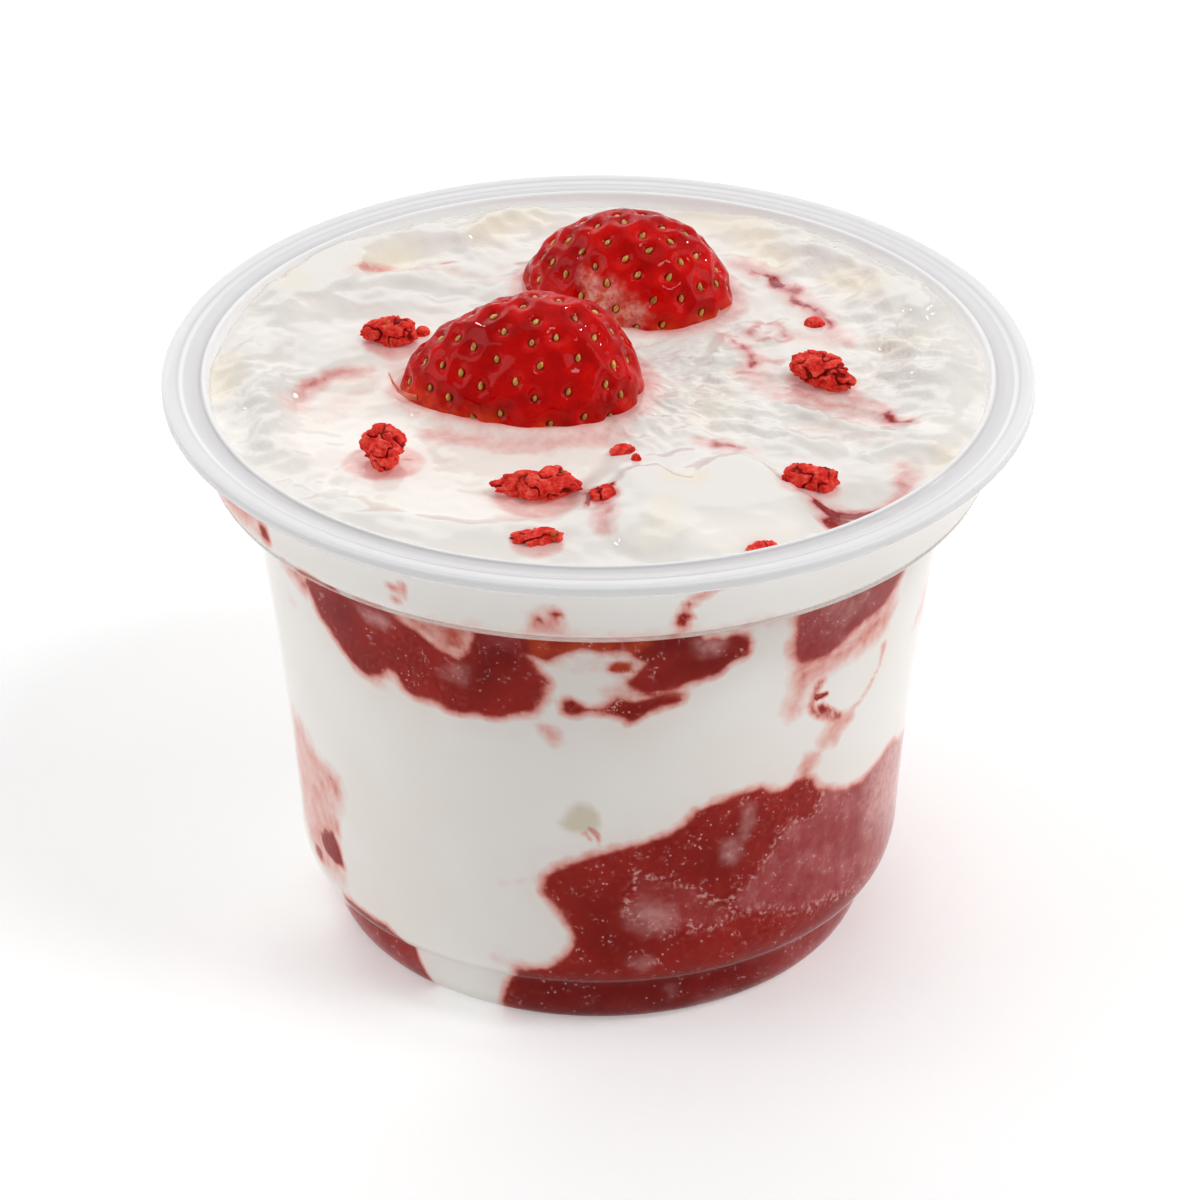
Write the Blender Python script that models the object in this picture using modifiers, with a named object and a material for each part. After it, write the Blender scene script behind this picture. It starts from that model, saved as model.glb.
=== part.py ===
"""A clear plastic dessert cup filled with strawberry ripple ice cream.

On the ice cream lie two strawberry halves and eight pieces of dried strawberry.
Sizes are in millimetres, angles in degrees. Z = 0 is the table under the foot, the cup's axis is Z
and -Y is the front.
"""

import math
import random

import bmesh
import bpy
from mathutils import Matrix, Vector, noise

MM = 0.001
CLEARANCE = 0.3
SEGMENTS = 56
FILLET_STEPS = 2
CURVE_STEPS = 3
BODY_STEPS = 3

# Cup
HEIGHT = 66.0
WALL = 0.7
FLANGE_RADIUS = 47.5
FLANGE_THICKNESS = 0.8
LIP_DROP = 1.4
LIP_RADIUS = 0.6
LIP_EDGE = 0.3
SEAL_RING_RADIUS = 45.5
SEAL_RING_HEIGHT = 0.2
SEAL_RING_SLOPE = 0.15
UNDERSIDE_HEIGHT = HEIGHT - FLANGE_THICKNESS
BEAD_RADIUS = 43.0
SHOULDER_TOP_RADIUS = 43.15
SHOULDER_FOOT_RADIUS = 42.8
SHOULDER_FILLET = 1.4
LEDGE_HEIGHT = 56.1
LEDGE_FILLET = 0.7
BODY_TOP_RADIUS = 38.8
BODY_MIDDLE_RADIUS = 35.2
BODY_MIDDLE_HEIGHT = 30.0
BODY_FOOT_RADIUS = 33.7
BODY_FOOT_HEIGHT = 12.4
HEEL_RADIUS = 31.6
HEEL_HEIGHT = 7.0
FOOT_TOP_RADIUS = 30.6
FOOT_TOP_HEIGHT = 6.3
FOOT_BASE_RADIUS = 27.5
FOOT_RING_WIDTH = 3.0
BASE_RECESS = 1.2

# Ice cream
WALL_LEVEL = 64.0
CENTRE_LEVEL = 64.9
TOP_RINGS = 13
ROUGHNESS_HEIGHT = 0.3
ROUGHNESS_SIZE = 7.0

# Forms of the top: centre x, y, half length, half width, heading, height, edge sharpness
TOP_FORMS = [
    (13.0, -29.5, 10.0, 8.5, -15, 1.5, 3.0),
    (-34.0, 19.0, 7.0, 4.0, 62, 1.5, 1.4),
    (-28.5, 28.0, 6.0, 4.0, 40, 1.4, 1.4),
    (-38.0, 6.0, 6.0, 2.6, 85, 1.0, 1.2),
    (-17.0, 35.0, 9.0, 3.6, 22, 1.4, 1.3),
    (-4.0, 38.5, 7.0, 2.6, 4, 0.9, 1.2),
    (-23.0, 23.0, 9.0, 3.0, 32, 0.9, 1.2),
    (21.0, 33.5, 9.0, 3.6, -34, 1.2, 1.3),
    (33.0, 20.0, 8.0, 4.0, -58, 1.4, 1.4),
    (37.0, 3.0, 7.0, 3.4, -86, 1.2, 1.3),
    (35.5, -12.0, 7.0, 3.2, -108, 1.0, 1.3),
    (-35.5, -7.0, 9.0, 2.6, 96, 0.9, 1.2),
    (-25.0, -5.0, 8.5, 7.5, 20, -0.8, 2.0),
    (-17.0, -28.0, 14.0, 9.0, -28, 0.6, 2.0),
    (26.5, -29.5, 6.0, 3.5, 40, -1.0, 1.5),
    (18.0, -37.5, 5.0, 3.0, 25, -0.7, 1.5),
]

# Strawberry halves
BERRY_SIDES = 32
BERRY_ROWS = 18
BERRY_SINK = 1.0
BERRIES = {
    "strawberry_front": {
        "place": (-8.1, -2.0),
        "length": 26.4,
        "width": 18.8,
        "height": 11.7,
        "taper": 0.19,
        "point": 0.04,
        "heading": -6,
    },
    "strawberry_back": {
        "place": (3.4, 20.2),
        "length": 23.8,
        "width": 18.4,
        "height": 10.8,
        "taper": 0.05,
        "point": 0.06,
        "heading": -18,
    },
}
BERRY_LUMP_HEIGHT = 0.25
BERRY_LUMP_SIZE = 5.0
WELD = 0.02

# Dried pieces: centre x, y, thickness, and the outline's radii at equal steps from +X towards +Y
PIECE_SINK = 0.6
PIECE_ROUGHNESS = 0.22
PIECE_GRAIN = 1.9
PIECE_SUBDIVISIONS = 3
SMALL_PIECE_SUBDIVISIONS = 2
SMALL_PIECE_REACH = 3.1
PIECES = [
    (-22.6, 9.1, 3.7, (2.6, 1.5, 1.8, 2.6, 3.4, 2.0, 2.0, 2.6)),
    (-22.9, -17.4, 3.9, (2.3, 2.4, 2.2, 2.6, 2.7, 2.0, 5.0, 2.8)),
    (-6.3, -25.2, 3.0, (4.4, 4.4, 1.4, 1.8, 5.4, 2.6, 2.2, 2.4)),
    (0.6, -26.1, 2.2, (1.4, 1.4, 1.3, 1.3, 1.6, 1.6, 1.4, 1.3)),
    (-6.4, -35.2, 2.0, (2.6, 2.4, 1.0, 1.2, 2.9, 2.0, 1.2, 1.4)),
    (24.2, -0.6, 3.9, (2.6, 2.3, 2.6, 3.8, 3.2, 2.6, 2.9, 4.6)),
    (22.1, -23.5, 3.1, (3.6, 1.6, 1.4, 2.8, 2.9, 2.0, 2.0, 2.8)),
    (17.4, -37.0, 1.7, (2.0, 1.4, 1.4, 1.8, 2.0, 1.3, 1.0, 1.0)),
]

# Crumbs fused to the ice cream: x, y, half length, half width, heading
CRUMB_HEIGHT = 0.9
CRUMBS = [
    (-19.4, 10.6, 0.9, 0.9, 0),
    (2.6, -16.3, 1.5, 0.9, 10),
    (4.0, -18.4, 0.6, 0.5, 0),
    (23.9, 13.0, 1.2, 1.0, 0),
]

COLOURS = {
    "clear_plastic": ((0.86, 0.85, 0.86), 0.12),
    "ice_cream": ((0.90, 0.86, 0.83), 0.35),
    "strawberry": ((0.55, 0.01, 0.012), 0.15),
    "dried_strawberry": ((0.50, 0.02, 0.02), 0.75),
}


def clear_scene():
    for found in list(bpy.data.objects):
        bpy.data.objects.remove(found, do_unlink=True)


def new_collection(name):
    collection = bpy.data.collections.new(name)
    bpy.context.scene.collection.children.link(collection)
    return collection


def make_material(name):
    colour, roughness = COLOURS[name]
    material = bpy.data.materials.new(name)
    material.use_nodes = True
    shader = material.node_tree.nodes["Principled BSDF"]
    shader.inputs["Base Color"].default_value = (*colour, 1.0)
    shader.inputs["Roughness"].default_value = roughness
    shader.inputs["Metallic"].default_value = 0.0
    return material


def new_object(name, mesh, collection, material=None):
    made = bpy.data.objects.new(name, mesh)
    collection.objects.link(made)
    if material is not None:
        mesh.materials.clear()
        mesh.materials.append(material)
    return made


def arc(centre, radius_across, radius_up, start, end, steps):
    """Points (r, z) along part of an ellipse, its angles measured from +r towards +z."""
    points = []
    for step in range(steps + 1):
        angle = math.radians(start + (end - start) * step / steps)
        across = centre[0] + radius_across * math.cos(angle)
        points.append((across, centre[1] + radius_up * math.sin(angle)))
    return points


def body_radius(height):
    """Outer radius of the cup's tapering body, a parabola through its three measured radii."""
    top = (LEDGE_HEIGHT, BODY_TOP_RADIUS)
    middle = (BODY_MIDDLE_HEIGHT, BODY_MIDDLE_RADIUS)
    foot = (BODY_FOOT_HEIGHT, BODY_FOOT_RADIUS)
    radius = 0.0
    for here, second, third in ((top, middle, foot), (middle, foot, top), (foot, top, middle)):
        share = (height - second[0]) * (height - third[0])
        share /= (here[0] - second[0]) * (here[0] - third[0])
        radius += share * here[1]
    return radius


def cup_outside():
    """The cup's outer side (r, z), from under the flange down to the middle of the base."""
    fillet = SHOULDER_FILLET
    shoulder_top = (SHOULDER_TOP_RADIUS + fillet, UNDERSIDE_HEIGHT - fillet)
    points = arc(shoulder_top, fillet, fillet, 90, 180, FILLET_STEPS)
    shoulder_foot = (SHOULDER_FOOT_RADIUS - fillet, LEDGE_HEIGHT + fillet)
    points += arc(shoulder_foot, fillet, fillet, 0, -90, FILLET_STEPS)
    inner = LEDGE_FILLET
    body_top = (BODY_TOP_RADIUS + inner, LEDGE_HEIGHT - inner)
    points += arc(body_top, inner, inner, 90, 180, FILLET_STEPS)
    for step in range(1, BODY_STEPS + 1):
        drop = (LEDGE_HEIGHT - inner - BODY_FOOT_HEIGHT) * step / BODY_STEPS
        height = LEDGE_HEIGHT - inner - drop
        points.append((body_radius(height), height))
    heel_depth = BODY_FOOT_HEIGHT - HEEL_HEIGHT
    heel_width = BODY_FOOT_RADIUS - HEEL_RADIUS
    heel = arc((HEEL_RADIUS, BODY_FOOT_HEIGHT), heel_width, heel_depth, 0, -90, CURVE_STEPS)
    points += heel[1:]
    foot_width = FOOT_TOP_RADIUS - FOOT_BASE_RADIUS
    foot_centre = (FOOT_BASE_RADIUS, FOOT_TOP_HEIGHT)
    points += arc(foot_centre, foot_width, FOOT_TOP_HEIGHT, 0, -90, CURVE_STEPS)
    ring = FOOT_BASE_RADIUS - FOOT_RING_WIDTH
    points.append((ring, 0.0))
    points.append((ring - BASE_RECESS, BASE_RECESS))
    points.append((0.0, BASE_RECESS))
    return points


def offset_inwards(points, distance):
    """The profile moved towards the cup's inside, its corners mitred."""
    moved = []
    for index, (across, up) in enumerate(points):
        normal = Vector((0.0, 0.0))
        spans = []
        for first, second in ((index - 1, index), (index, index + 1)):
            if first < 0 or second >= len(points):
                continue
            along = Vector(points[second]) - Vector(points[first])
            spans.append(Vector((along.y, -along.x)).normalized())
        for span in spans:
            normal += span
        normal.normalize()
        reach = distance / max(normal.dot(spans[0]), 0.5)
        across = max(0.0, across + normal.x * reach)
        moved.append((across, up + normal.y * reach))
    moved[-1] = (0.0, points[-1][1] + distance)
    return moved


def cup_profile():
    """The whole section of the cup, from the middle of its inner floor over the rim and down its outside."""
    outside = cup_outside()
    inside = offset_inwards(outside, WALL)
    inside.reverse()
    inner_edge = SHOULDER_TOP_RADIUS - WALL
    inside = [point for point in inside if point[1] < HEIGHT - FLANGE_THICKNESS - SHOULDER_FILLET]
    band = HEIGHT - SEAL_RING_HEIGHT
    lip_centre = (FLANGE_RADIUS - LIP_RADIUS, HEIGHT - LIP_RADIUS)
    lip = arc(lip_centre, LIP_RADIUS, LIP_RADIUS, 90, 0, FILLET_STEPS)
    under_lip = HEIGHT - LIP_DROP
    rim = [
        (inner_edge, band),
        (BEAD_RADIUS, HEIGHT),
        (BEAD_RADIUS + 2 * SEAL_RING_HEIGHT, band),
        (SEAL_RING_RADIUS - SEAL_RING_SLOPE, band),
        (SEAL_RING_RADIUS + SEAL_RING_SLOPE, HEIGHT),
        *lip,
        (FLANGE_RADIUS, under_lip + LIP_EDGE),
        (FLANGE_RADIUS - LIP_EDGE, under_lip),
        (FLANGE_RADIUS - FLANGE_THICKNESS, under_lip),
        (FLANGE_RADIUS - FLANGE_THICKNESS - LIP_EDGE, UNDERSIDE_HEIGHT),
    ]
    return inside + rim + outside


def turned(name, profile, segments, collection, material):
    """A solid turned round Z from a profile (r, z) that runs down its outer side."""
    mesh = bpy.data.meshes.new(name)
    points = [(across * MM, 0.0, up * MM) for across, up in profile]
    edges = [(index, index + 1) for index in range(len(points) - 1)]
    mesh.from_pydata(points, edges, [])
    made = new_object(name, mesh, collection, material)
    screw = made.modifiers.new("turn", "SCREW")
    screw.steps = segments
    screw.render_steps = segments
    screw.use_merge_vertices = True
    screw.merge_threshold = 0.00001
    screw.use_smooth_shade = True
    return made


def freeze(made):
    """Replaces an object's mesh by what its modifiers make of it."""
    graph = bpy.context.evaluated_depsgraph_get()
    mesh = bpy.data.meshes.new_from_object(made.evaluated_get(graph))
    made.modifiers.clear()
    made.data = mesh
    return made


def form_height(x, y, form):
    """Height that one form of the top adds at (x, y)."""
    centre_x, centre_y, length, width, heading, height, sharpness = form
    turn = math.radians(heading)
    along = (x - centre_x) * math.cos(turn) + (y - centre_y) * math.sin(turn)
    across = (y - centre_y) * math.cos(turn) - (x - centre_x) * math.sin(turn)
    distance = math.hypot(along / length, across / width)
    return height * math.exp(-(distance ** (2 * sharpness)))


def surface_height(x, y):
    """Height of the ice cream's top at (x, y)."""
    share = min(1.0, math.hypot(x, y) / SHOULDER_TOP_RADIUS)
    height = CENTRE_LEVEL + (WALL_LEVEL - CENTRE_LEVEL) * share**2
    for form in TOP_FORMS:
        height += form_height(x, y, form)
    spot = Vector((x, y, 0.0)) / ROUGHNESS_SIZE
    height += ROUGHNESS_HEIGHT * noise.fractal(spot, 0.8, 2.2, 3)
    return min(height, HEIGHT - CLEARANCE)


def filling_profile():
    """The filling's section: from the middle of its top outwards, then down along the cup's inner wall."""
    wall = offset_inwards(cup_outside(), WALL + CLEARANCE)
    wall = [point for point in wall if point[1] < LEDGE_HEIGHT + SHOULDER_FILLET + CLEARANCE]
    edge = SHOULDER_TOP_RADIUS - WALL - CLEARANCE
    top = [(edge * ring / TOP_RINGS, WALL_LEVEL) for ring in range(TOP_RINGS + 1)]
    return top + wall


def make_ice_cream(collection, material):
    filling = freeze(turned("ice_cream", filling_profile(), SEGMENTS, collection, material))
    for point in filling.data.vertices:
        if point.co.z > (WALL_LEVEL - 0.1) * MM:
            point.co.z = surface_height(point.co.x / MM, point.co.y / MM) * MM
    return filling


def half_berry(name, berry, grow, collection, material):
    """Half a strawberry lying on its cut face, its point towards -X. grow thickens it all round."""
    shape = bmesh.new()
    bmesh.ops.create_uvsphere(shape, u_segments=BERRY_SIDES, v_segments=BERRY_ROWS, radius=1.0)
    bmesh.ops.rotate(shape, verts=shape.verts, matrix=Matrix.Rotation(math.radians(90), 3, "Y"))
    for point in shape.verts:
        along, side, up = point.co
        width = 1.0 + berry["taper"] * along
        tip = 1.0 + berry["point"] * max(0.0, -along) ** 4
        ripple = BERRY_LUMP_HEIGHT * noise.noise(point.co * berry["length"] / (2 * BERRY_LUMP_SIZE))
        point.co = Vector(
            (
                along * tip * (berry["length"] / 2 + ripple + grow),
                side * width * (berry["width"] / 2 + ripple + grow),
                up * width * (berry["height"] + ripple + grow),
            )
        )
    cut = Vector((0.0, 0.0, -grow))
    every = shape.verts[:] + shape.edges[:] + shape.faces[:]
    bmesh.ops.bisect_plane(shape, geom=every, plane_co=cut, plane_no=(0, 0, 1), clear_inner=True)
    bmesh.ops.remove_doubles(shape, verts=shape.verts, dist=WELD)
    rim = [edge for edge in shape.edges if edge.is_boundary]
    bmesh.ops.edgeloop_fill(shape, edges=rim)
    bmesh.ops.triangulate(shape, faces=[face for face in shape.faces if len(face.verts) > 4])
    bmesh.ops.recalc_face_normals(shape, faces=shape.faces)
    bmesh.ops.scale(shape, vec=(MM, MM, MM), verts=shape.verts)
    mesh = bpy.data.meshes.new(name)
    shape.to_mesh(mesh)
    shape.free()
    mesh.shade_smooth()
    made = new_object(name, mesh, collection, material)
    x, y = berry["place"]
    made.location = (x * MM, y * MM, (seat_height(x, y) - BERRY_SINK) * MM)
    made.rotation_euler = (0.0, 0.0, math.radians(berry["heading"]))
    return made


def seat_height(x, y):
    """Level of the surface round a place, without its small forms."""
    share = min(1.0, math.hypot(x, y) / SHOULDER_TOP_RADIUS)
    return CENTRE_LEVEL + (WALL_LEVEL - CENTRE_LEVEL) * share**2


def outline_radius(angle, radii):
    """Radius of a closed outline at an angle, with a smooth change between its given radii."""
    place = (angle / (2 * math.pi)) % 1.0 * len(radii)
    index = int(place)
    share = place - index
    blend = share * share * (3 - 2 * share)
    return radii[index % len(radii)] * (1 - blend) + radii[(index + 1) % len(radii)] * blend


def dried_piece(name, number, grow, collection, material):
    """A rough chunk of dried strawberry, lying slightly sunk in the ice cream."""
    x, y, thickness, radii = PIECES[number]
    small = max(radii) < SMALL_PIECE_REACH
    shape = bmesh.new()
    subdivisions = SMALL_PIECE_SUBDIVISIONS if small else PIECE_SUBDIVISIONS
    bmesh.ops.create_icosphere(shape, subdivisions=subdivisions, radius=1.0)
    draw = random.Random(number)
    shift = Vector((draw.uniform(0, 50), draw.uniform(0, 50), draw.uniform(0, 50)))
    for point in shape.verts:
        direction = point.co.normalized()
        reach = outline_radius(math.atan2(direction.y, direction.x), radii)
        rough = 1.0 + PIECE_ROUGHNESS * noise.fractal(direction * PIECE_GRAIN + shift, 0.7, 2.1, 3)
        across = reach * rough + grow
        up = thickness / 2 * rough + grow
        point.co = Vector((direction.x * across, direction.y * across, direction.z * up))
    bmesh.ops.scale(shape, vec=(MM, MM, MM), verts=shape.verts)
    mesh = bpy.data.meshes.new(name)
    shape.to_mesh(mesh)
    shape.free()
    made = new_object(name, mesh, collection, material)
    made.location = (x * MM, y * MM, (surface_height(x, y) + thickness / 2 - PIECE_SINK) * MM)
    return made


def crumb(number, collection):
    """A crumb of dried strawberry, half sunk in the surface."""
    x, y, length, width, heading = CRUMBS[number]
    bpy.ops.mesh.primitive_ico_sphere_add(subdivisions=1, radius=1.0)
    made = bpy.context.object
    made.name = f"crumb_{number + 1}"
    made.location = (x * MM, y * MM, surface_height(x, y) * MM)
    made.rotation_euler = (0.0, 0.0, math.radians(heading))
    made.scale = (length * MM, width * MM, CRUMB_HEIGHT * MM)
    for home in list(made.users_collection):
        home.objects.unlink(made)
    collection.objects.link(made)
    return made


def collection_boolean(made, name, operation, collection):
    modifier = made.modifiers.new(name, "BOOLEAN")
    modifier.operation = operation
    modifier.operand_type = "COLLECTION"
    modifier.collection = collection
    modifier.solver = "EXACT"


def main():
    clear_scene()
    parts = new_collection("ice_cream_cup")
    crumbs = new_collection("crumbs")
    cutters = new_collection("cutters")
    plastic = make_material("clear_plastic")
    cream = make_material("ice_cream")
    fruit = make_material("strawberry")
    dried = make_material("dried_strawberry")

    turned("cup", cup_profile(), SEGMENTS, parts, plastic)
    ice_cream = make_ice_cream(parts, cream)
    for number in range(len(CRUMBS)):
        crumb(number, crumbs)
    collection_boolean(ice_cream, "crumbs", "UNION", crumbs)
    bpy.context.view_layer.update()
    freeze(ice_cream)
    for made in list(crumbs.objects):
        bpy.data.objects.remove(made, do_unlink=True)
    bpy.data.collections.remove(crumbs)

    for name, berry in BERRIES.items():
        half_berry(name, berry, 0.0, parts, fruit)
        half_berry(name + "_seat", berry, CLEARANCE, cutters, None)
    for number in range(len(PIECES)):
        name = f"dried_piece_{number + 1}"
        dried_piece(name, number, 0.0, parts, dried)
        dried_piece(name + "_seat", number, CLEARANCE, cutters, None)
    for cutter in cutters.objects:
        cutter.hide_render = True
        cutter.display_type = "WIRE"
    collection_boolean(ice_cream, "seats", "DIFFERENCE", cutters)


main()
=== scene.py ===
"""Looks of the ice cream cup: clear plastic, marbled ice cream, glazed strawberry halves, dried pieces."""

import math
import random

import bmesh
import bpy
import numpy as np
from mathutils import Matrix, Vector, noise


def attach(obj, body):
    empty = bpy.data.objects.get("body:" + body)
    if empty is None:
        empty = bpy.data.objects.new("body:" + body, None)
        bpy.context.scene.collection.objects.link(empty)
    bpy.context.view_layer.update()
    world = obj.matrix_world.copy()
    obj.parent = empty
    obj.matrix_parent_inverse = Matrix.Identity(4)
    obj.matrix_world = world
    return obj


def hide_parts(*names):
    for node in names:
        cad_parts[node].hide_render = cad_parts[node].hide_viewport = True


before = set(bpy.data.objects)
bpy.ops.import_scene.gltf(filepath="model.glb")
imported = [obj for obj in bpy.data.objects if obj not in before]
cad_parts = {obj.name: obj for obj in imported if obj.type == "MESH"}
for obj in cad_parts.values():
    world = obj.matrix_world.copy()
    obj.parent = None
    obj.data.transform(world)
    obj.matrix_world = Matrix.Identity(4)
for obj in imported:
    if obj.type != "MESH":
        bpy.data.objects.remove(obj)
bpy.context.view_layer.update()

MM = 0.001
BODY = "root"

# Camera, as fitted to the rim, the ledge and the foot in the photograph
CAMERA_DISTANCE = 0.700
CAMERA_ELEVATION = 30.3
CAMERA_TARGET = (0.0, 0.0, 0.0368)
FOCAL_PIXELS = 6299.0
FRAME_PIXELS = 1200.0
SENSOR = 36.0
AXIS_PIXEL = 598.5

# Studio, in metres, with the brightness of a white page as 1
STUDIO_FRONT = 0.36
STUDIO_BACK = 0.58
LIGHTS = [
    ("overhead", (0.0, 0.5, 2.6), (2.0, 2.0), 0.30),
    ("backdrop", (-0.5, 2.4, 1.3), (2.6, 1.3), 1.1),
    ("side_left", (-2.2, -0.3, 1.1), (1.6, 1.6), 1.6),
    ("side_right", (2.2, -0.3, 1.1), (1.6, 1.6), 1.5),
    ("key", (1.17, -0.73, 2.2), (0.6, 0.45), 12.0),
    ("spark_right", (1.5, 1.2, 1.6), (0.11, 0.22), 110.0),
    ("spark_left", (-1.3, 1.3, 1.7), (0.10, 0.10), 100.0),
]
SHADOWLESS = ("spark_right", "spark_left")

# Cup, in millimetres
HEIGHT = 66.0
WALL = 0.7
FLANGE_RADIUS = 47.5
FLANGE_THICKNESS = 0.8
LIP_DROP = 1.4
LIP_RADIUS = 0.6
LIP_EDGE = 0.3
SEAL_RING_RADIUS = 45.5
SEAL_RING_HEIGHT = 0.2
SEAL_RING_SLOPE = 0.15
UNDERSIDE_HEIGHT = HEIGHT - FLANGE_THICKNESS
BEAD_RADIUS = 43.0
SHOULDER_TOP_RADIUS = 43.15
SHOULDER_FOOT_RADIUS = 42.8
SHOULDER_FILLET = 1.4
LEDGE_HEIGHT = 56.1
LEDGE_FILLET = 0.7
BODY_TOP_RADIUS = 38.8
BODY_MIDDLE_RADIUS = 35.2
BODY_MIDDLE_HEIGHT = 30.0
BODY_FOOT_RADIUS = 33.7
BODY_FOOT_HEIGHT = 12.4
HEEL_RADIUS = 31.6
HEEL_HEIGHT = 7.0
FOOT_TOP_RADIUS = 30.6
FOOT_TOP_HEIGHT = 6.3
FOOT_BASE_RADIUS = 27.5
FOOT_RING_WIDTH = 3.0
BASE_RECESS = 1.2
CUP_SEGMENTS = 256
FLANGE_INSIDE = 42.0
FILLET_STEPS = 6
CURVE_STEPS = 10
BODY_STEPS = 16

# Tones of the milky flange, from its inner edge outwards: grey milky bands, with painted highlights (the
# near-white bands) and painted shade (the darkest bands) along its ridges, grooves and outer edge
FLANGE_LINES_PAINTED = [
    (0.10, (0.95, 0.95, 0.95)),
    (0.18, (0.97, 0.97, 0.97)),
    (0.24, (0.70, 0.68, 0.69)),
    (0.30, (0.78, 0.77, 0.78)),
    (0.56, (0.79, 0.78, 0.79)),
    (0.60, (0.96, 0.96, 0.96)),
    (0.64, (0.95, 0.95, 0.95)),
    (0.69, (0.76, 0.75, 0.76)),
    (0.75, (0.85, 0.85, 0.855)),
    (0.93, (0.87, 0.87, 0.875)),
    (0.96, (0.97, 0.97, 0.97)),
    (1.00, (0.74, 0.73, 0.74)),
]

# Ice cream
WALL_LEVEL = 64.0
CENTRE_LEVEL = 64.9
INTO_WALL = 0.06
INTO_FOOT = 0.5
FILLING_SEGMENTS = 480
TOP_ROWS = 78
WALL_ROW_HEIGHT = 0.7
BASE_ROW_WIDTH = 3.0
RIPPLE = 0.5
BACK_RIPPLE = 1.9
ROUGHNESS_HEIGHT = 0.3
ROUGHNESS_SIZE = 7.0
ARC_PER_DEGREE = 0.63

# Forms of the top: centre x, y, half length, half width, heading, height, edge sharpness
TOP_FORMS = [
    (13.0, -29.5, 10.0, 8.5, -15, 1.5, 3.0),
    (-34.0, 19.0, 7.0, 4.0, 62, 1.5, 1.4),
    (-28.5, 28.0, 6.0, 4.0, 40, 1.4, 1.4),
    (-38.0, 6.0, 6.0, 2.6, 85, 1.0, 1.2),
    (-17.0, 35.0, 9.0, 3.6, 22, 1.4, 1.3),
    (-4.0, 38.5, 7.0, 2.6, 4, 0.9, 1.2),
    (-23.0, 23.0, 9.0, 3.0, 32, 0.9, 1.2),
    (21.0, 33.5, 9.0, 3.6, -34, 1.2, 1.3),
    (33.0, 20.0, 8.0, 4.0, -58, 1.4, 1.4),
    (37.0, 3.0, 7.0, 3.4, -86, 1.2, 1.3),
    (35.5, -12.0, 7.0, 3.2, -108, 1.0, 1.3),
    (-35.5, -7.0, 9.0, 2.6, 96, 0.9, 1.2),
    (-25.0, -5.0, 8.5, 7.5, 20, -0.8, 2.0),
    (-17.0, -28.0, 14.0, 9.0, -28, 0.6, 2.0),
    (26.5, -29.5, 6.0, 3.5, 40, -1.0, 1.5),
    (18.0, -37.5, 5.0, 3.0, 25, -0.7, 1.5),
]

# Curdled parts of the top: centre x, y, half length, half width, heading, strength
CURDLED = [
    (9.0, 0.0, 8.0, 14.0, -20, 1.0),
    (34.0, 8.0, 7.0, 19.0, 0, 1.0),
    (31.0, -12.0, 10.0, 8.0, 0, 0.6),
    (-35.0, 22.0, 8.0, 12.0, -40, 0.8),
    (18.0, -8.0, 10.0, 8.0, 10, 0.7),
    (-37.5, -6.0, 5.5, 20.0, 0, 0.8),
    (-31.0, -24.0, 7.0, 6.0, 40, 0.6),
    (-8.0, 36.0, 16.0, 5.0, 10, 0.7),
    (27.0, 27.0, 14.0, 7.0, -40, 0.7),
    (5.0, -12.0, 6.0, 5.0, 0, 0.6),
]

# The lobe at the front right, rounder than the solid's own form
LOBE = TOP_FORMS[0]
LOBE_ROUNDED = (13.0, -29.0, 11.5, 9.5, -15, 1.35, 1.3)

# Raised and recessed areas of the top: edge softness, height, where it fades from and to, outline as (x, y)
TOP_STEPS = [
    (1.2, -0.50, None, [(-17, 9), (-24, 5.6), (-29, 3.2), (-32.2, 0), (-33.6, -4), (-33, -9), (-32, -14),
        (-30.5, -19), (-28, -24), (-22, -29), (-13, -32), (-4, -30), (-1, -22), (2, -16), (0, -6)]),
    (0.55, 0.75, (15, -20, 14, -34), [(1.6, -24), (2.4, -22), (6.6, -20.4), (7.4, -23.2), (9.6, -24.2),
        (11, -22), (12.4, -19.2), (15, -18), (17, -19.4), (19, -23), (21, -26), (24, -28), (26, -31),
        (24, -36), (14, -42), (4, -42), (1.4, -32)]),
    (0.8, 0.60, (3, -38, 9, -28), [(1.4, -27), (0.9, -32), (1.8, -36.4), (5.0, -38.6), (8.4, -37.0),
        (10.4, -33), (9, -27)]),
    (1.3, 0.7, None, [(-38, 18), (-34, 27), (-29.5, 31), (-26.8, 27), (-27.6, 22.4), (-30.5, 20.2)]),
    (1.4, -0.4, None, [(-26.6, 24.4), (-24.6, 29.8), (-20.4, 31.4), (-19.6, 27.6), (-23.4, 24.6)]),
    (1.2, -0.35, None, [(-14, 31), (-12.6, 36.6), (-8.0, 39.4), (-5.6, 37.6), (-9.4, 34.4)]),
    (1.4, -0.35, None, [(25.4, 20.6), (26.4, 25.4), (29.6, 25.4), (31.2, 21.6), (28.4, 19.8)]),
    (1.4, -0.3, None, [(15, 36), (17, 29), (20, 27), (22.6, 29), (21, 34)]),
]

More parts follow.
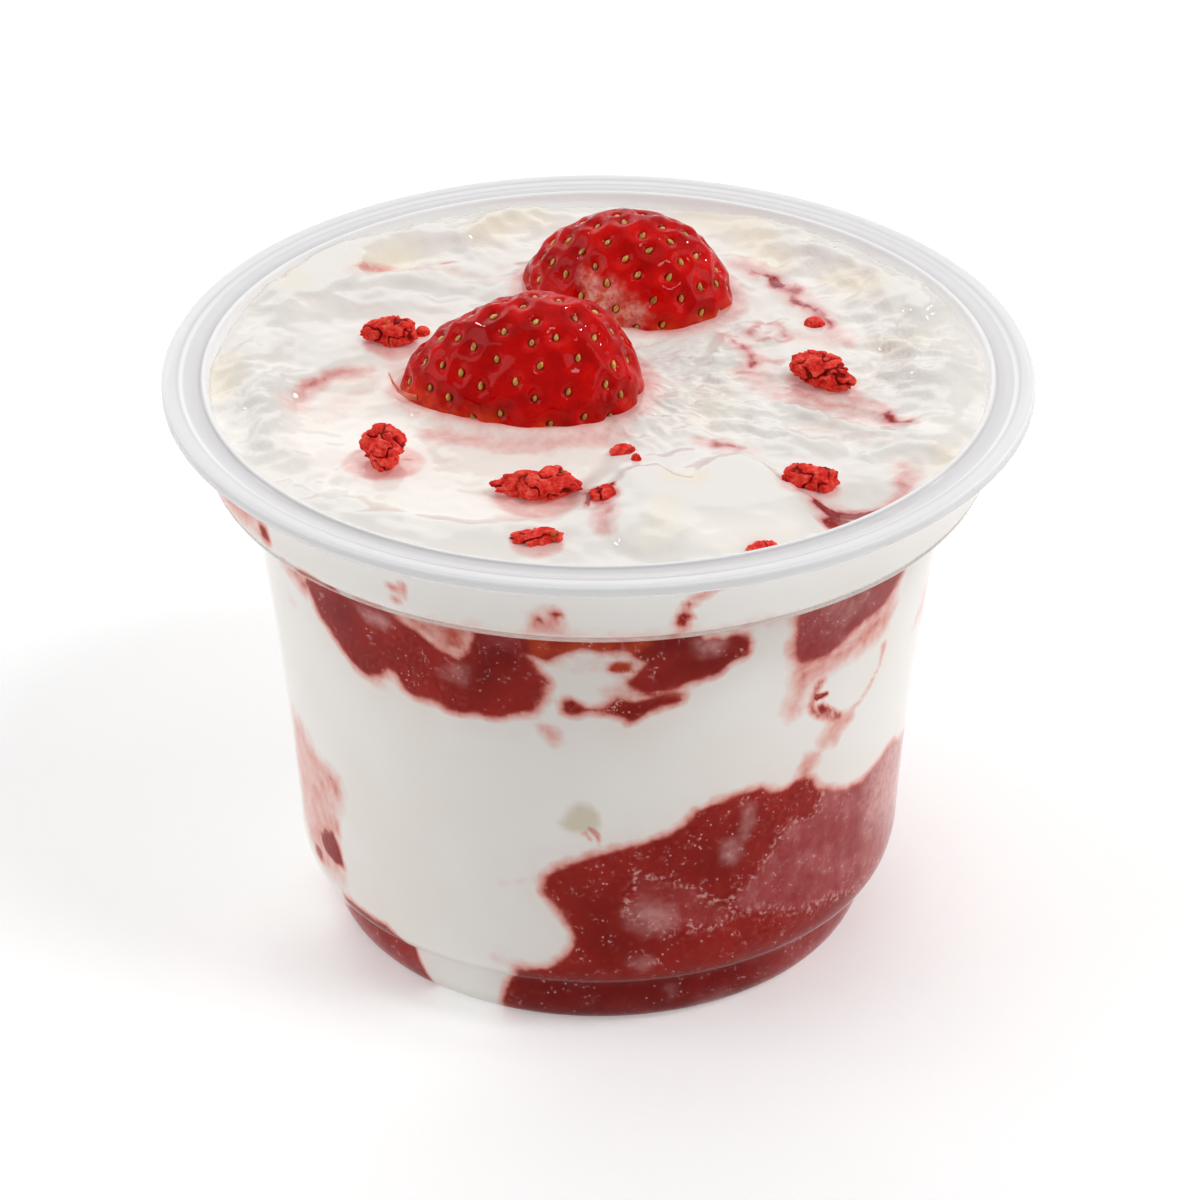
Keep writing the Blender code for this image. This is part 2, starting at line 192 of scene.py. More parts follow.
# Ridges of the top: half width, height, route as (x, y)
TOP_RIDGES = [
    (0.9, 0.9, [(-28.6, 29.4), (-27.2, 25.6), (-28.6, 21.6), (-32.0, 19.0)]),
    (0.8, 0.7, [(-32.4, 29.0), (-31.0, 24.6), (-32.6, 21.4)]),
    (0.9, 0.7, [(-14.8, 30.4), (-14.6, 34.6), (-11.6, 38.6), (-7.0, 40.6)]),
    (1.0, 0.6, [(-25.0, 32.6), (-20.0, 34.4), (-16.6, 33.0)]),
    (1.1, 0.5, [(-26.0, 22.4), (-19.0, 23.4), (-13.0, 20.4)]),
    (1.3, 0.4, [(-27.0, 17.0), (-20.0, 18.6), (-14.0, 16.0)]),
    (0.9, 0.7, [(30.4, 26.6), (31.6, 21.4), (33.4, 17.6)]),
    (0.9, 0.8, [(35.0, 22.0), (36.0, 16.0), (34.6, 11.6)]),
    (0.9, 0.7, [(30.0, 12.6), (31.6, 8.4), (34.4, 5.6), (37.0, 5.0)]),
    (0.9, 0.6, [(31.0, 2.0), (35.0, 0.6), (38.6, 2.0)]),
    (0.8, 0.6, [(24.6, 30.4), (29.0, 27.6), (30.6, 29.4)]),
    (0.7, 0.5, [(13.6, 8.4), (12.2, 3.0), (13.8, -2.0), (12.0, -6.0)]),
    (0.7, 0.5, [(20.0, -6.4), (25.0, -9.0), (30.0, -11.6)]),
    (0.7, 0.5, [(14.0, -10.0), (19.0, -12.4), (24.0, -15.6)]),
    (0.7, 0.5, [(28.6, -16.6), (33.0, -15.0), (36.6, -17.0)]),
    (0.8, 0.5, [(16.0, 12.4), (19.0, 8.6), (20.4, 13.4)]),
    (0.9, 0.5, [(-35.0, 2.0), (-37.0, -4.0), (-35.6, -10.0), (-36.0, -16.0)]),
    (0.8, 0.5, [(-39.0, 8.0), (-40.0, 0.0), (-39.4, -8.0)]),
    (0.8, 0.4, [(-30.0, -26.0), (-26.0, -30.0), (-20.0, -33.6)]),
]

# Sauce against the wall: reach of its edge, strength, outline as (azimuth in degrees, height in mm)
WALL_SAUCE = [
    (1.5, 1.00, [(-9.5, 21.8), (-8, 23), (-4.5, 24.2), (0, 25.1), (4, 25.7), (8, 26.3), (12, 27.1),
        (15, 28.5), (18, 29.9), (20.5, 30.5), (24, 30.4), (27, 31), (30, 31.1), (32.5, 30.1), (35, 29.7),
        (38, 30), (40.5, 29.8), (42.5, 28.6), (45, 27.2), (48, 25.9), (52, 25.1), (57, 24.6), (62, 25),
        (66, 25.4), (71, 25), (76, 24), (90, 22), (110, 18), (140, 14), (140, -9), (-23, -9), (-22, 0),
        (-20, 3), (-18.5, 5), (-17, 7), (-16, 8.5), (-12, 9.1), (-9, 9.6), (-6.5, 10.8), (-5, 12.4),
        (-4.4, 14), (-5, 15.6), (-6.5, 17.2), (-8.5, 18.8), (-10, 20.2)]),
    (1.5, 1.00, [(-56, 51.8), (-55.2, 49.8), (-53.5, 47.8), (-50.5, 46.2), (-48, 44.9), (-45.5, 43.8),
        (-42.5, 43.4), (-40, 44.1), (-37.5, 45.2), (-36, 45), (-34.8, 43.5), (-31.5, 42.6), (-28, 43),
        (-25, 42.5), (-21, 42.6), (-17, 42.7), (-13.5, 43.4), (-10.5, 44.2), (-9.2, 46), (-8.7, 48),
        (-9.5, 49.6), (-10.5, 50.6), (-12.5, 52), (-14, 56), (-19, 56), (-20.8, 53), (-21.4, 51),
        (-23.5, 49.7), (-26.5, 50), (-29.5, 51.2), (-33, 52.4), (-36, 53.6), (-44, 56), (-52, 56)]),
    (1.0, 0.82, [(-6.5, 45.6), (-4.5, 46), (-2, 45.2), (0.5, 45.3), (3, 46.2), (6, 46), (9, 46.3),
        (12, 46.6), (14.5, 46.4), (14, 45.2), (11, 44.7), (8.5, 44.1), (6.5, 43.2), (5, 42.8),
        (3.8, 43.6), (1.5, 44.1), (-1, 44.2), (-4, 44.2), (-6.3, 44.4)]),
    (1.3, 1.00, [(3.5, 56), (4, 53), (6.5, 51.6), (8.5, 50.8), (7, 49.6), (5.2, 48.6), (5.5, 47.6),
        (8, 46.8), (11, 46.8), (14, 47.2), (17, 47.8), (20, 48.4), (22.5, 49.4), (25, 50.3), (25.3, 51.4),
        (24.3, 52.6), (22.5, 53), (20.5, 52.4), (19, 53.2), (17, 53), (15.5, 56)]),
    (1.2, 0.92, [(-13, 52), (-8, 51.4), (-3, 53.2), (1.5, 52.7), (4, 52.6), (4, 56), (-14, 56)]),
    (0.8, 0.92, [(1.2, 50.8), (2.6, 51.4), (4.8, 51.1), (6, 50.4), (4, 49.9), (2, 50.0)]),
    (1.6, 0.86, [(33, 50), (33.6, 48), (35.5, 46.4), (38.5, 45.8), (42, 46), (45.5, 47.1), (49.5, 48.2),
        (54, 47.9), (57.5, 49.6), (60.5, 51.6), (62, 56), (35, 56), (33.5, 52)]),
    (1.0, 0.95, [(-64, 5.2), (-60.4, 6.4), (-58.6, 8.9), (-50, 8.9), (-45.5, 8.8), (-43, 7.2), (-42, 5.4),
        (-41, 3.6), (-39.5, 2), (-38, -9), (-100, -9), (-90, 3), (-76, 1)]),
    (0.8, 0.74, [(-67, 14.6), (-64, 16.6), (-60.5, 17), (-57.6, 14.8), (-57.4, 12.6), (-61, 12.2),
        (-65, 13)]),
    (0.8, 0.62, [(-71.5, 11.6), (-69, 12.8), (-66, 12.4), (-65, 11), (-67, 10.2), (-71, 10.4)]),
]

# Thin films of sauce over the cream
WALL_FILM = [
    (1.4, 0.46, [(-34, 52.6), (-30, 51), (-26, 49.6), (-22, 50.3), (-20, 53), (-19, 56), (-34, 56)]),
    (1.6, 0.40, [(-68, 51), (-60, 52.8), (-52, 56), (-47, 56), (-53, 50.4), (-57, 48.6), (-61, 49.4)]),
    (1.6, 0.34, [(0, 47.6), (4, 49), (9, 48), (9, 45), (2, 45)]),
    (1.8, 0.22, [(-8, 52), (-7, 50), (-3, 49), (2, 49.6), (4, 52)]),
    (1.4, 0.26, [(15, 53.2), (24, 53.4), (34, 52.6), (34, 56), (15, 56)]),
    (1.9, 0.40, [(33.2, 47), (33.5, 41), (35, 38.6), (37.5, 40), (38.5, 43), (42, 43.2), (47, 43.8),
        (52, 43.8), (57.5, 44.2), (60.5, 47), (59, 49.6), (50, 48), (40, 47)]),
    (1.2, 0.40, [(44, 36.4), (47, 36.8), (51, 36), (51, 34.8), (48, 33.8), (47.5, 32.6), (43.5, 32.8),
        (42, 34.4)]),
    (1.2, 0.42, [(39.4, 33.4), (43.5, 32.8), (43.4, 31), (41, 29), (37.5, 29.6), (38.4, 32)]),
    (2.2, 0.34, [(-79, 27), (-75, 29), (-67, 28.6), (-62, 26.6), (-58, 26.2), (-55, 26), (-54, 24.2),
        (-54.4, 22), (-56, 20.6), (-57.5, 19.5), (-57.5, 15), (-57, 12), (-58, 10), (-66, 9.6),
        (-73, 10.2), (-79, 12), (-81, 20)]),
    (1.0, 0.46, [(-60, 25.6), (-55.3, 25.6), (-54.6, 23.6), (-56, 21.8), (-59, 22.4), (-60.5, 24)]),
    (1.0, 0.42, [(-60, 19.6), (-57.4, 19.4), (-57.2, 16.6), (-59.6, 17)]),
    (1.4, 0.40, [(-84, 56.4), (-76, 60.0), (-66, 61.8), (-60, 61.2), (-57.5, 60), (-58.5, 57.8),
        (-66, 57.4), (-75, 56.4)]),
    (0.8, 0.80, [(-58, 59.6), (-55.8, 59.4), (-55, 58), (-56, 57.6), (-58.2, 58.2)]),
    (0.5, 0.52, [(-53, 57.1), (-44, 57.1), (-43, 56.2), (-53, 56.2)]),
    (0.5, 0.36, [(-40.5, 57.0), (-35, 57.0), (-35, 56.2), (-40.5, 56.2)]),
    (1.3, 0.40, [(-10.2, 57.0), (-9.8, 59.4), (-7, 60.8), (-5, 60.4), (-4.8, 57.0), (-7, 56)]),
    (2.0, 0.17, [(-32.5, 60), (-29, 61), (-27, 59), (-30, 57.6)]),
    (2.2, 0.25, [(-46, 56.4), (-30, 57.6), (-12, 58.0), (8, 58.2), (22, 57.8), (38, 56.6), (38, 55),
        (-46, 55)]),
    (2.4, 0.16, [(44, 56.8), (48, 58.6), (62, 59), (62, 56.8)]),
    (1.2, 0.44, [(-9.6, 42.2), (-6.6, 42), (-6, 40.4), (-8, 39.6), (-9.8, 40.6)]),
    (1.6, 0.24, [(-47, 44), (-38, 44.6), (-37, 42.4), (-42, 41.2)]),
    (2.6, 0.15, [(-69, 49.6), (-60, 49), (-58, 45), (-64, 42.6), (-70, 45)]),
]

# Narrow runs and dots of sauce: half width, strength, route as (azimuth, height)
WALL_STREAKS = [
    (0.55, 0.50, [(41, 43), (39.8, 41.8), (39.3, 40.2), (40.5, 38.6), (43, 37.3), (46, 36.4)]),
    (0.45, 0.34, [(46, 36.4), (49, 35.8), (52, 36.4), (55, 37.6), (57.3, 39.6), (58, 42.4)]),
    (0.35, 0.85, [(40.3, 40.8), (42.4, 40.6)]),
    (0.50, 0.66, [(42.0, 39.0), (43.2, 38.2)]),
    (0.45, 0.50, [(43.4, 38.6), (45.8, 37.0), (47.6, 36.4)]),
    (0.70, 0.40, [(11.2, 56.2), (11.8, 58.2), (12.6, 59.8), (14.4, 61.0), (18.4, 62.8)]),
    (0.60, 0.72, [(11.6, 58.2), (12.6, 59.0)]),
    (0.40, 0.60, [(12.4, 59.8), (13.4, 60.6)]),
    (0.40, 0.62, [(-9.0, 58.5), (-8.4, 58.7)]),
    (0.50, 0.60, [(-6.6, 59.4), (-5.6, 60.0)]),
    (0.35, 0.50, [(-7.2, 57.9), (-6.8, 58.1)]),
    (0.45, 0.46, [(-30.6, 59.7), (-30.2, 59.8)]),
    (0.45, 0.46, [(-30.2, 58.3), (-29.8, 58.4)]),
    (0.40, 0.40, [(-28.8, 59.3), (-28.6, 60.4)]),
    (0.50, 0.30, [(-35, 55.6), (-32, 55.4), (-30, 55.8)]),
    (0.35, 0.46, [(-1.8, 28.4), (-0.7, 27.9), (0.0, 26.9)]),
    (0.30, 0.36, [(-2.7, 27.9), (-1.7, 27.1)]),
    (0.9, 0.16, [(-10, 21.8), (-14, 21.2), (-18, 20.2)]),
    (0.9, 0.20, [(-13, 9.6), (-20, 9.8)]),
]

# The back, which the photograph doesn't show, in the same kind of masses
BACK_SAUCE = [
    (1.6, 0.95, [(-150, 40), (-144, 43), (-138, 46), (-129, 49), (-120, 50), (-111, 50), (-104, 48),
        (-99, 45.5), (-98, 43), (-104, 40), (-112, 38), (-119, 34), (-126, 31), (-133, 29.6), (-140, 30),
        (-147, 34)]),
    (1.6, 1.00, [(124, 9), (134, 14), (143, 20), (152, 26), (160, 30), (168, 32), (178, 30.6), (190, 29),
        (190, -9), (124, -9)]),
    (1.6, 1.00, [(-190, 31), (-179, 30), (-173, 25), (-169, 19), (-166, 13), (-168, 8), (-170, 4),
        (-168, -9), (-190, -9)]),
    (2.1, 0.62, [(96, 56), (98, 51), (102, 47), (108, 44), (114, 42), (122, 42.4), (128, 44), (133, 47),
        (136, 51), (134, 56)]),
    (1.8, 0.50, [(-172, 60), (-160, 57), (-146, 58), (-140, 62), (-160, 64)]),
    (2.4, 0.32, [(70, 40), (84, 37), (98, 40), (90, 45), (76, 45)]),
]

# Where frost lies between the sauce and the wall
FROST_PATCHES = [
    (0.35, 0.34, [(7, 22.6), (10, 21.8), (14, 21), (18, 19.4), (21, 17.6), (24, 16.6), (26, 16.8),
        (25, 14), (18, 14.2), (12, 14), (5, 17)]),
    (0.35, 0.72, [(25.5, 16.8), (26.5, 17.2), (28.5, 18.4), (30.5, 19.8), (32.5, 21.2), (34.2, 22.6),
        (36.2, 24), (38.5, 25), (41, 24.3), (43.5, 24.8), (45.5, 26.4), (50, 27.4), (84, 27.4),
        (97, 24), (106, 17), (110, 12), (98, 9.2),
        (60, 9.6), (45, 11.5), (36, 13), (28, 14.6)]),
    (3.0, 0.62, [(34, 20), (40, 22), (56, 22), (86, 23), (99, 19), (104, 13), (94, 8.8),
        (56, 8.8), (44, 11), (36, 15)]),
    (2.5, 0.40, [(30, 8.6), (112, 8.6), (106, -9), (44, -9), (38, 4)]),
    (0.6, 0.66, [(-49, 56), (-45, 52.6), (-41, 51.2), (-37.5, 51), (-35.4, 52.2), (-35.6, 56)]),
    (0.9, 0.50, [(-20, 54), (-18, 52.6), (-14, 52.8), (-12, 54), (-14, 56), (-20, 56)]),
    (1.6, 0.44, [(-66, 50.4), (-58, 52.4), (-50, 53), (-47, 56), (-66, 56)]),
    (1.4, 0.58, [(32, 56), (33, 47), (40, 45), (60, 48), (62, 56)]),
    (1.6, 0.50, [(-80, 8.6), (-72, 16), (-68, 8.6)]),
    (1.6, 0.30, [(-80, -9), (-72, 4), (-52, 8.8), (-38, 4), (-38, -9)]),
]

# Pale spots inside the sauce
PALE_PATCHES = [
    (1.4, 0.52, [(5.6, 17.2), (9, 18.4), (13.4, 17), (14, 15), (9, 14.5), (6, 15.4)]),
    (0.7, 0.50, [(27.2, 29.2), (28.8, 28.8), (28.6, 26), (27.6, 24.4), (26.6, 25.4), (27, 27.4)]),
    (0.9, 0.52, [(23.4, 24.6), (25.6, 24.8), (26.6, 23.2), (25.2, 21.8), (23.4, 22.4)]),
    (0.7, 0.42, [(5.6, 10.3), (9.6, 10.8), (10.6, 10.0), (8, 9.3)]),
    (0.7, 0.34, [(14, 4.6), (16.4, 4.4), (15.4, 3)]),
    (1.2, 0.30, [(22, 1.6), (27, 2.2), (30, 0.6), (24, 0)]),
    (0.9, 0.56, [(15.4, 53), (18, 53.4), (21, 52.2), (19.6, 51), (16.6, 51.4)]),
    (0.6, 0.60, [(-42, 51.9), (-38, 52.4), (-35.6, 51.9), (-37.4, 50.9), (-41, 51.1)]),
    (1.0, 0.42, [(-24, 48.6), (-21.8, 48.8), (-22.6, 46.9), (-27, 47)]),
    (3.0, 0.72, [(60, 27), (100, 27), (100, 12), (74, 13), (62, 18)]),
    (1.4, 0.36, [(40, 52.4), (46, 53), (50, 51.4), (44, 50.4)]),
    (0.5, 0.75, [(-77, 7.0), (-62, 8.9), (-60, 6.6), (-74, 6.2)]),
]

# Deep red cores
DARK_PATCHES = [
    (1.6, 1.0, [(-20.5, 52), (-17, 53.4), (-13, 53.4), (-12.4, 50.6), (-13, 49.4), (-16, 48), (-17, 46),
        (-19.6, 44.6), (-21.4, 47), (-20.8, 50)]),
    (1.8, 0.7, [(-53, 50.8), (-45, 51), (-44, 48.8), (-52, 48.6)]),
    (1.4, 0.5, [(-44, 47), (-40, 46.6), (-41, 44.8), (-44, 45)]),
    (1.4, 0.9, [(7.6, 54.6), (16, 54.6), (15, 52), (8.4, 51.6)]),
    (1.2, 0.9, [(13, 50.8), (21, 50.8), (24.6, 50.2), (20, 48.9), (13, 49)]),
    (1.0, 0.7, [(21.6, 52.6), (24.4, 52.6), (25, 50.4), (22, 50.6)]),
    (1.0, 0.8, [(2, 45.2), (10, 45.6), (8, 44.2), (5.4, 43.2), (3, 44.2)]),
    (2.2, 0.55, [(9, 25), (20, 28), (30, 28), (31, 22), (25, 18), (14, 21)]),
    (2.4, 0.75, [(-5, 20), (2, 19), (4, 15), (14, 12.6), (10, 10.4), (-4, 11.6)]),
    (2.0, 0.95, [(-18, 7.6), (40, 7.6), (34, -4), (-20, -4)]),
    (1.0, 0.8, [(-58, 8.8), (-47, 8.8), (-46, 6.4), (-58, 6.4)]),
    (1.2, 0.6, [(-44.4, 3.2), (-42, 3.4), (-41.6, 0.6), (-45, 0.8)]),
    (1.4, 0.6, [(44, 51.4), (49, 50.6), (50, 48.6), (40, 47), (37, 48)]),
]

# Painted shade, in warm beige, of a round air hollow between the cream and the wall: reach, strength,
# outline
SHADED_HOLLOW_SPOTS = [
    (0.45, 1.0, [(-6.5, 29.4), (-5.6, 31.0), (-3.6, 31.8), (-1.4, 31.5), (0.1, 30.6), (0.2, 29.3),
        (-1.2, 28.3), (-3, 28.0), (-5.2, 28.3)]),
]

# Bright orange-red spots just under the ledge
BRIGHT_PATCHES = [
    (1.0, 0.85, [(-27, 53.6), (-24, 54), (-20.6, 51.6), (-22, 50.4), (-25.6, 51)]),
    (1.2, 1.0, [(-12, 56), (8, 56), (9, 53.4), (4, 51.6), (-6, 52.4), (-11, 51.6)]),
    (0.9, 1.0, [(1, 51.4), (5, 51.4), (6, 50.2), (2, 49.8)]),
    (1.2, 0.5, [(20, 29.6), (26, 29.4), (25, 27), (20, 28)]),
    (1.2, 0.7, [(53, 52.6), (59, 52.6), (57, 50), (54, 50)]),
]

# Sauce on the top: half width, strength, route as (x, y)
TOP_SAUCE = [
    (0.9, 0.42, [(-32.6, -1.6), (-31.4, 0.4), (-29.4, 2.2), (-27.8, 3.0)]),
    (2.2, 0.24, [(-33.0, -4.0), (-31.6, -0.6), (-28.6, 2.0), (-25.6, 3.2)]),
    (4.4, 0.15, [(-29.6, -6.0), (-26.4, -1.0), (-21.0, 3.0)]),
    (4.5, 0.09, [(-30.0, -6.0), (-27.0, -10.0), (-29.0, -16.0)]),
    (1.0, 0.42, [(-26.2, 25.4), (-23.6, 26.6)]),
    (2.6, 0.16, [(-27.0, 23.6), (-23.0, 26.0), (-19.6, 26.0)]),
    (0.8, 0.40, [(-17.4, 26.4), (-16.6, 26.8)]),
    (2.6, 0.15, [(-19.0, 25.4), (-14.0, 24.6), (-10.0, 23.4)]),
    (0.9, 0.32, [(-9.4, 27.0), (-6.4, 28.0)]),
    (2.0, 0.14, [(-11.0, 26.0), (-6.0, 28.6)]),
    (2.6, 0.14, [(-26.0, 16.6), (-21.0, 13.6)]),
    (1.0, 0.50, [(17.6, 25.6), (19.4, 23.8), (21.2, 21.8), (22.4, 18.8), (24.2, 15.8), (25.6, 12.6)]),
    (2.8, 0.24, [(16.4, 28.0), (19.4, 24.0), (22.4, 19.0), (25.0, 14.0), (26.6, 9.6)]),
    (0.8, 0.74, [(18.6, 24.4), (19.8, 22.8), (21.0, 22.4)]),
    (0.7, 0.66, [(21.8, 19.2), (22.6, 17.4), (23.6, 16.2)]),
    (0.6, 0.40, [(17.0, 10.2), (18.0, 12.4), (20.4, 12.0), (21.0, 9.8), (19.2, 8.2), (17.4, 8.8)]),
    (3.0, 0.20, [(16.6, 10.0), (20.4, 10.6), (24.0, 9.6)]),
    (0.9, 0.52, [(15.2, 7.8), (16.8, 5.6), (16.2, 2.6)]),
    (2.2, 0.26, [(14.6, 8.6), (16.8, 5.0), (16.0, 1.0)]),
    (0.9, 0.36, [(16.6, 4.6), (19.4, 4.0)]),
    (3.4, 0.22, [(17.0, 1.0), (20.0, -3.4), (24.4, -5.8), (28.0, -8.0)]),
    (0.8, 0.36, [(21.4, -2.4), (24.2, -5.4), (27.4, -6.2)]),
    (0.7, 0.60, [(31.0, -7.6), (32.6, -9.2), (33.6, -9.4)]),
    (2.0, 0.28, [(27.6, -4.4), (30.6, -7.4), (33.4, -10.0)]),
    (1.2, 0.50, [(12.4, -15.0), (14.8, -16.0)]),
    (2.3, 0.24, [(11.4, -14.6), (15.6, -16.4)]),
    (3.0, 0.15, [(22.0, -10.0), (27.0, -12.6), (31.0, -14.6)]),
    (1.2, 0.36, [(32.4, -20.4), (33.0, -23.4), (31.0, -26.0)]),
    (2.6, 0.20, [(32.4, -19.0), (33.0, -24.0), (29.6, -28.0)]),
    (0.7, 0.72, [(-1.4, -27.6), (-0.4, -25.6), (0.8, -24.0)]),
    (1.1, 0.44, [(0.2, -27.2), (0.5, -30.0)]),
    (1.8, 0.26, [(0.4, -28.0), (0.8, -33.6)]),
    (1.0, 0.96, [(23.2, -27.8), (26.0, -28.6), (28.6, -28.0), (31.2, -27.2)]),
    (1.3, 0.96, [(24.8, -30.0), (27.0, -30.8), (29.6, -29.8)]),
    (2.6, 0.26, [(23.0, -27.4), (27.0, -30.0), (32.4, -27.6)]),
    (2.6, 0.26, [(-17.0, -11.4), (-11.0, -13.8), (-4.0, -14.4), (2.0, -12.4)]),
]

# Cream-yellow hollows of the top: half width, strength, route
TOP_YELLOW = [
    (2.6, 0.9, [(-25.0, 26.5), (-22.0, 29.5)]),
    (2.2, 0.8, [(-13.4, 33.6), (-11.0, 37.0), (-7.4, 38.4)]),
    (2.8, 0.7, [(10.6, 39.0), (16.6, 36.4), (18.6, 31.0), (20.4, 28.0)]),
    (2.6, 0.9, [(27.0, 24.0), (29.4, 21.6)]),
    (1.3, 1.0, [(7.8, -23.4), (10.2, -23.6)]),
    (2.0, 0.6, [(-36.0, 25.0), (-34.0, 21.0)]),
    (1.8, 0.7, [(-40.6, 4.0), (-41.0, -3.0)]),
    (2.6, 0.5, [(33.0, 8.0), (35.6, 8.6)]),
    (1.8, 0.7, [(36.6, -19.0), (37.0, -16.0)]),
    (2.6, 0.35, [(12.0, -4.0), (12.0, -9.0)]),
    (2.0, 0.45, [(5.6, -35.6), (7.4, -33.0), (7.0, -29.0)]),
]

# Strawberry halves
BERRY_SINK = 1.0
BERRIES = {
    "strawberry_front": {
        "place": (-8.1, -2.0),
        "length": 26.4,
        "width": 18.8,
        "height": 11.7,
        "taper": 0.19,
        "point": 0.04,
        "heading": -6,
        "seed": 3,
    },
    "strawberry_back": {
        "place": (3.4, 20.2),
        "length": 23.8,
        "width": 18.4,
        "height": 10.8,
        "taper": 0.05,
        "point": 0.06,
        "heading": -18,
        "seed": 8,
    },
}
BERRY_LUMP_HEIGHT = 0.25
BERRY_LUMP_SIZE = 5.0
BERRY_SUBDIVISIONS = 7
SEED_COUNT = 150
SEED_LENGTH = 1.05
SEED_WIDTH = 0.64
SEED_THICKNESS = 0.5
HOLLOW_RADIUS = 1.2
HOLLOW_DEPTH = 0.50
PIT_RADIUS = 0.58
PIT_DEPTH = 0.26
FLESH_ROUTE = ((-2.6, 12.4, 70.6), (2.6, 10.4, 66.4))
FLESH_RADIUS = 3.4

# The hair at the front strawberry's tip: half thickness and route as (x, y, z)
HAIR = [
    (0.36, (-19.6, -4.6, 64.9)),
    (0.34, (-20.6, -4.2, 64.8)),
    (0.22, (-21.6, -3.2, 64.9)),
    (0.14, (-22.3, -1.9, 65.2)),
    (0.07, (-22.8, -0.5, 65.7)),
]
HAIR_SIDES = 12

# Dried pieces: centre x, y, thickness, and the outline's radii at equal steps from +X towards +Y
PIECE_SINK = 0.6
PIECE_ROUGHNESS = 0.16
PIECE_GRAIN = 1.5
PIECE_SUBDIVISIONS = 6
PIECES = [
    (-22.6, 9.1, 3.7, (2.6, 1.5, 1.8, 2.6, 3.4, 2.0, 2.0, 2.6)),
    (-22.9, -17.4, 3.9, (2.3, 2.4, 2.2, 2.6, 2.7, 2.0, 5.0, 2.8)),
    (-6.3, -25.2, 3.0, (4.4, 4.4, 1.4, 1.8, 5.4, 2.6, 2.2, 2.4)),
    (0.6, -26.1, 2.2, (1.4, 1.4, 1.3, 1.3, 1.6, 1.6, 1.4, 1.3)),
    (-6.4, -35.2, 2.0, (2.6, 2.4, 1.0, 1.2, 2.9, 2.0, 1.2, 1.4)),
    (24.2, -0.6, 3.9, (2.6, 2.3, 2.6, 3.8, 3.2, 2.6, 2.9, 4.6)),
    (22.1, -23.5, 3.1, (3.6, 1.6, 1.4, 2.8, 2.9, 2.0, 2.0, 2.8)),
    (17.4, -37.0, 1.7, (2.0, 1.4, 1.4, 1.8, 2.0, 1.3, 1.0, 1.0)),
]

# Crumbs: x, y, half length, half width, heading
CRUMB_HEIGHT = 0.9
CRUMBS = [
    (-19.4, 10.6, 0.9, 0.9, 0),
    (2.6, -16.3, 1.5, 0.9, 10),
    (4.0, -18.4, 0.6, 0.5, 0),
    (23.9, 13.0, 1.2, 1.0, 0),
]


def smooth_step(low, high, value):
    share = np.clip((value - low) / (high - low), 0.0, 1.0)
    return share * share * (3.0 - 2.0 * share)


def fractal(points, size, octaves, seed):
    """Fractal noise, about -1 to 1, at an array of points in millimetres."""
    shift = np.array([seed * 17.3, seed * 5.1, seed * 9.7])
    spots = points / size + shift
    return np.array([noise.fractal(Vector(spot), 0.9, 2.1, octaves) for spot in spots])


def polygon_distance(points, outline):
    """Distance to a closed outline, positive inside it."""
    outline = np.asarray(outline, float)
    nearest = np.full(len(points), np.inf)
    inside = np.zeros(len(points), bool)
    for first, second in zip(outline, np.roll(outline, -1, axis=0)):
        along = second - first
        from_first = points - first
        share = np.clip(from_first @ along / (along @ along), 0.0, 1.0)
        gap = np.hypot(*(from_first - share[:, None] * along).T)
        nearest = np.minimum(nearest, gap)
        crosses = (first[1] > points[:, 1]) != (second[1] > points[:, 1])
        rise = along[1] if abs(along[1]) > 1e-9 else 1e-9
        at = first[0] + along[0] * (points[:, 1] - first[1]) / rise
        inside ^= crosses & (points[:, 0] < at)
    return np.where(inside, nearest, -nearest)


def route_distance(points, route):
    """Distance to an open route."""
    nearest = np.full(len(points), np.inf)
    route = np.asarray(route, float)
    for first, second in zip(route[:-1], route[1:]):
        along = second - first
        share = np.clip((points - first) @ along / (along @ along), 0.0, 1.0)
        gap = np.hypot(*(points - first - share[:, None] * along).T)
        nearest = np.minimum(nearest, gap)
    return nearest


def arc(centre, radius_across, radius_up, start, end, steps):
    """Points (r, z) along part of an ellipse, its angles measured from +r towards +z."""
    points = []
    for step in range(steps + 1):
        angle = math.radians(start + (end - start) * step / steps)
        across = centre[0] + radius_across * math.cos(angle)
        points.append((across, centre[1] + radius_up * math.sin(angle)))
    return points


def body_radius(height):
    """Outer radius of the cup's tapering body, a parabola through its three measured radii."""
    top = (LEDGE_HEIGHT, BODY_TOP_RADIUS)
    middle = (BODY_MIDDLE_HEIGHT, BODY_MIDDLE_RADIUS)
    foot = (BODY_FOOT_HEIGHT, BODY_FOOT_RADIUS)
    radius = 0.0
    for here, second, third in ((top, middle, foot), (middle, foot, top), (foot, top, middle)):
        share = (height - second[0]) * (height - third[0])
        share /= (here[0] - second[0]) * (here[0] - third[0])
        radius += share * here[1]
    return radius


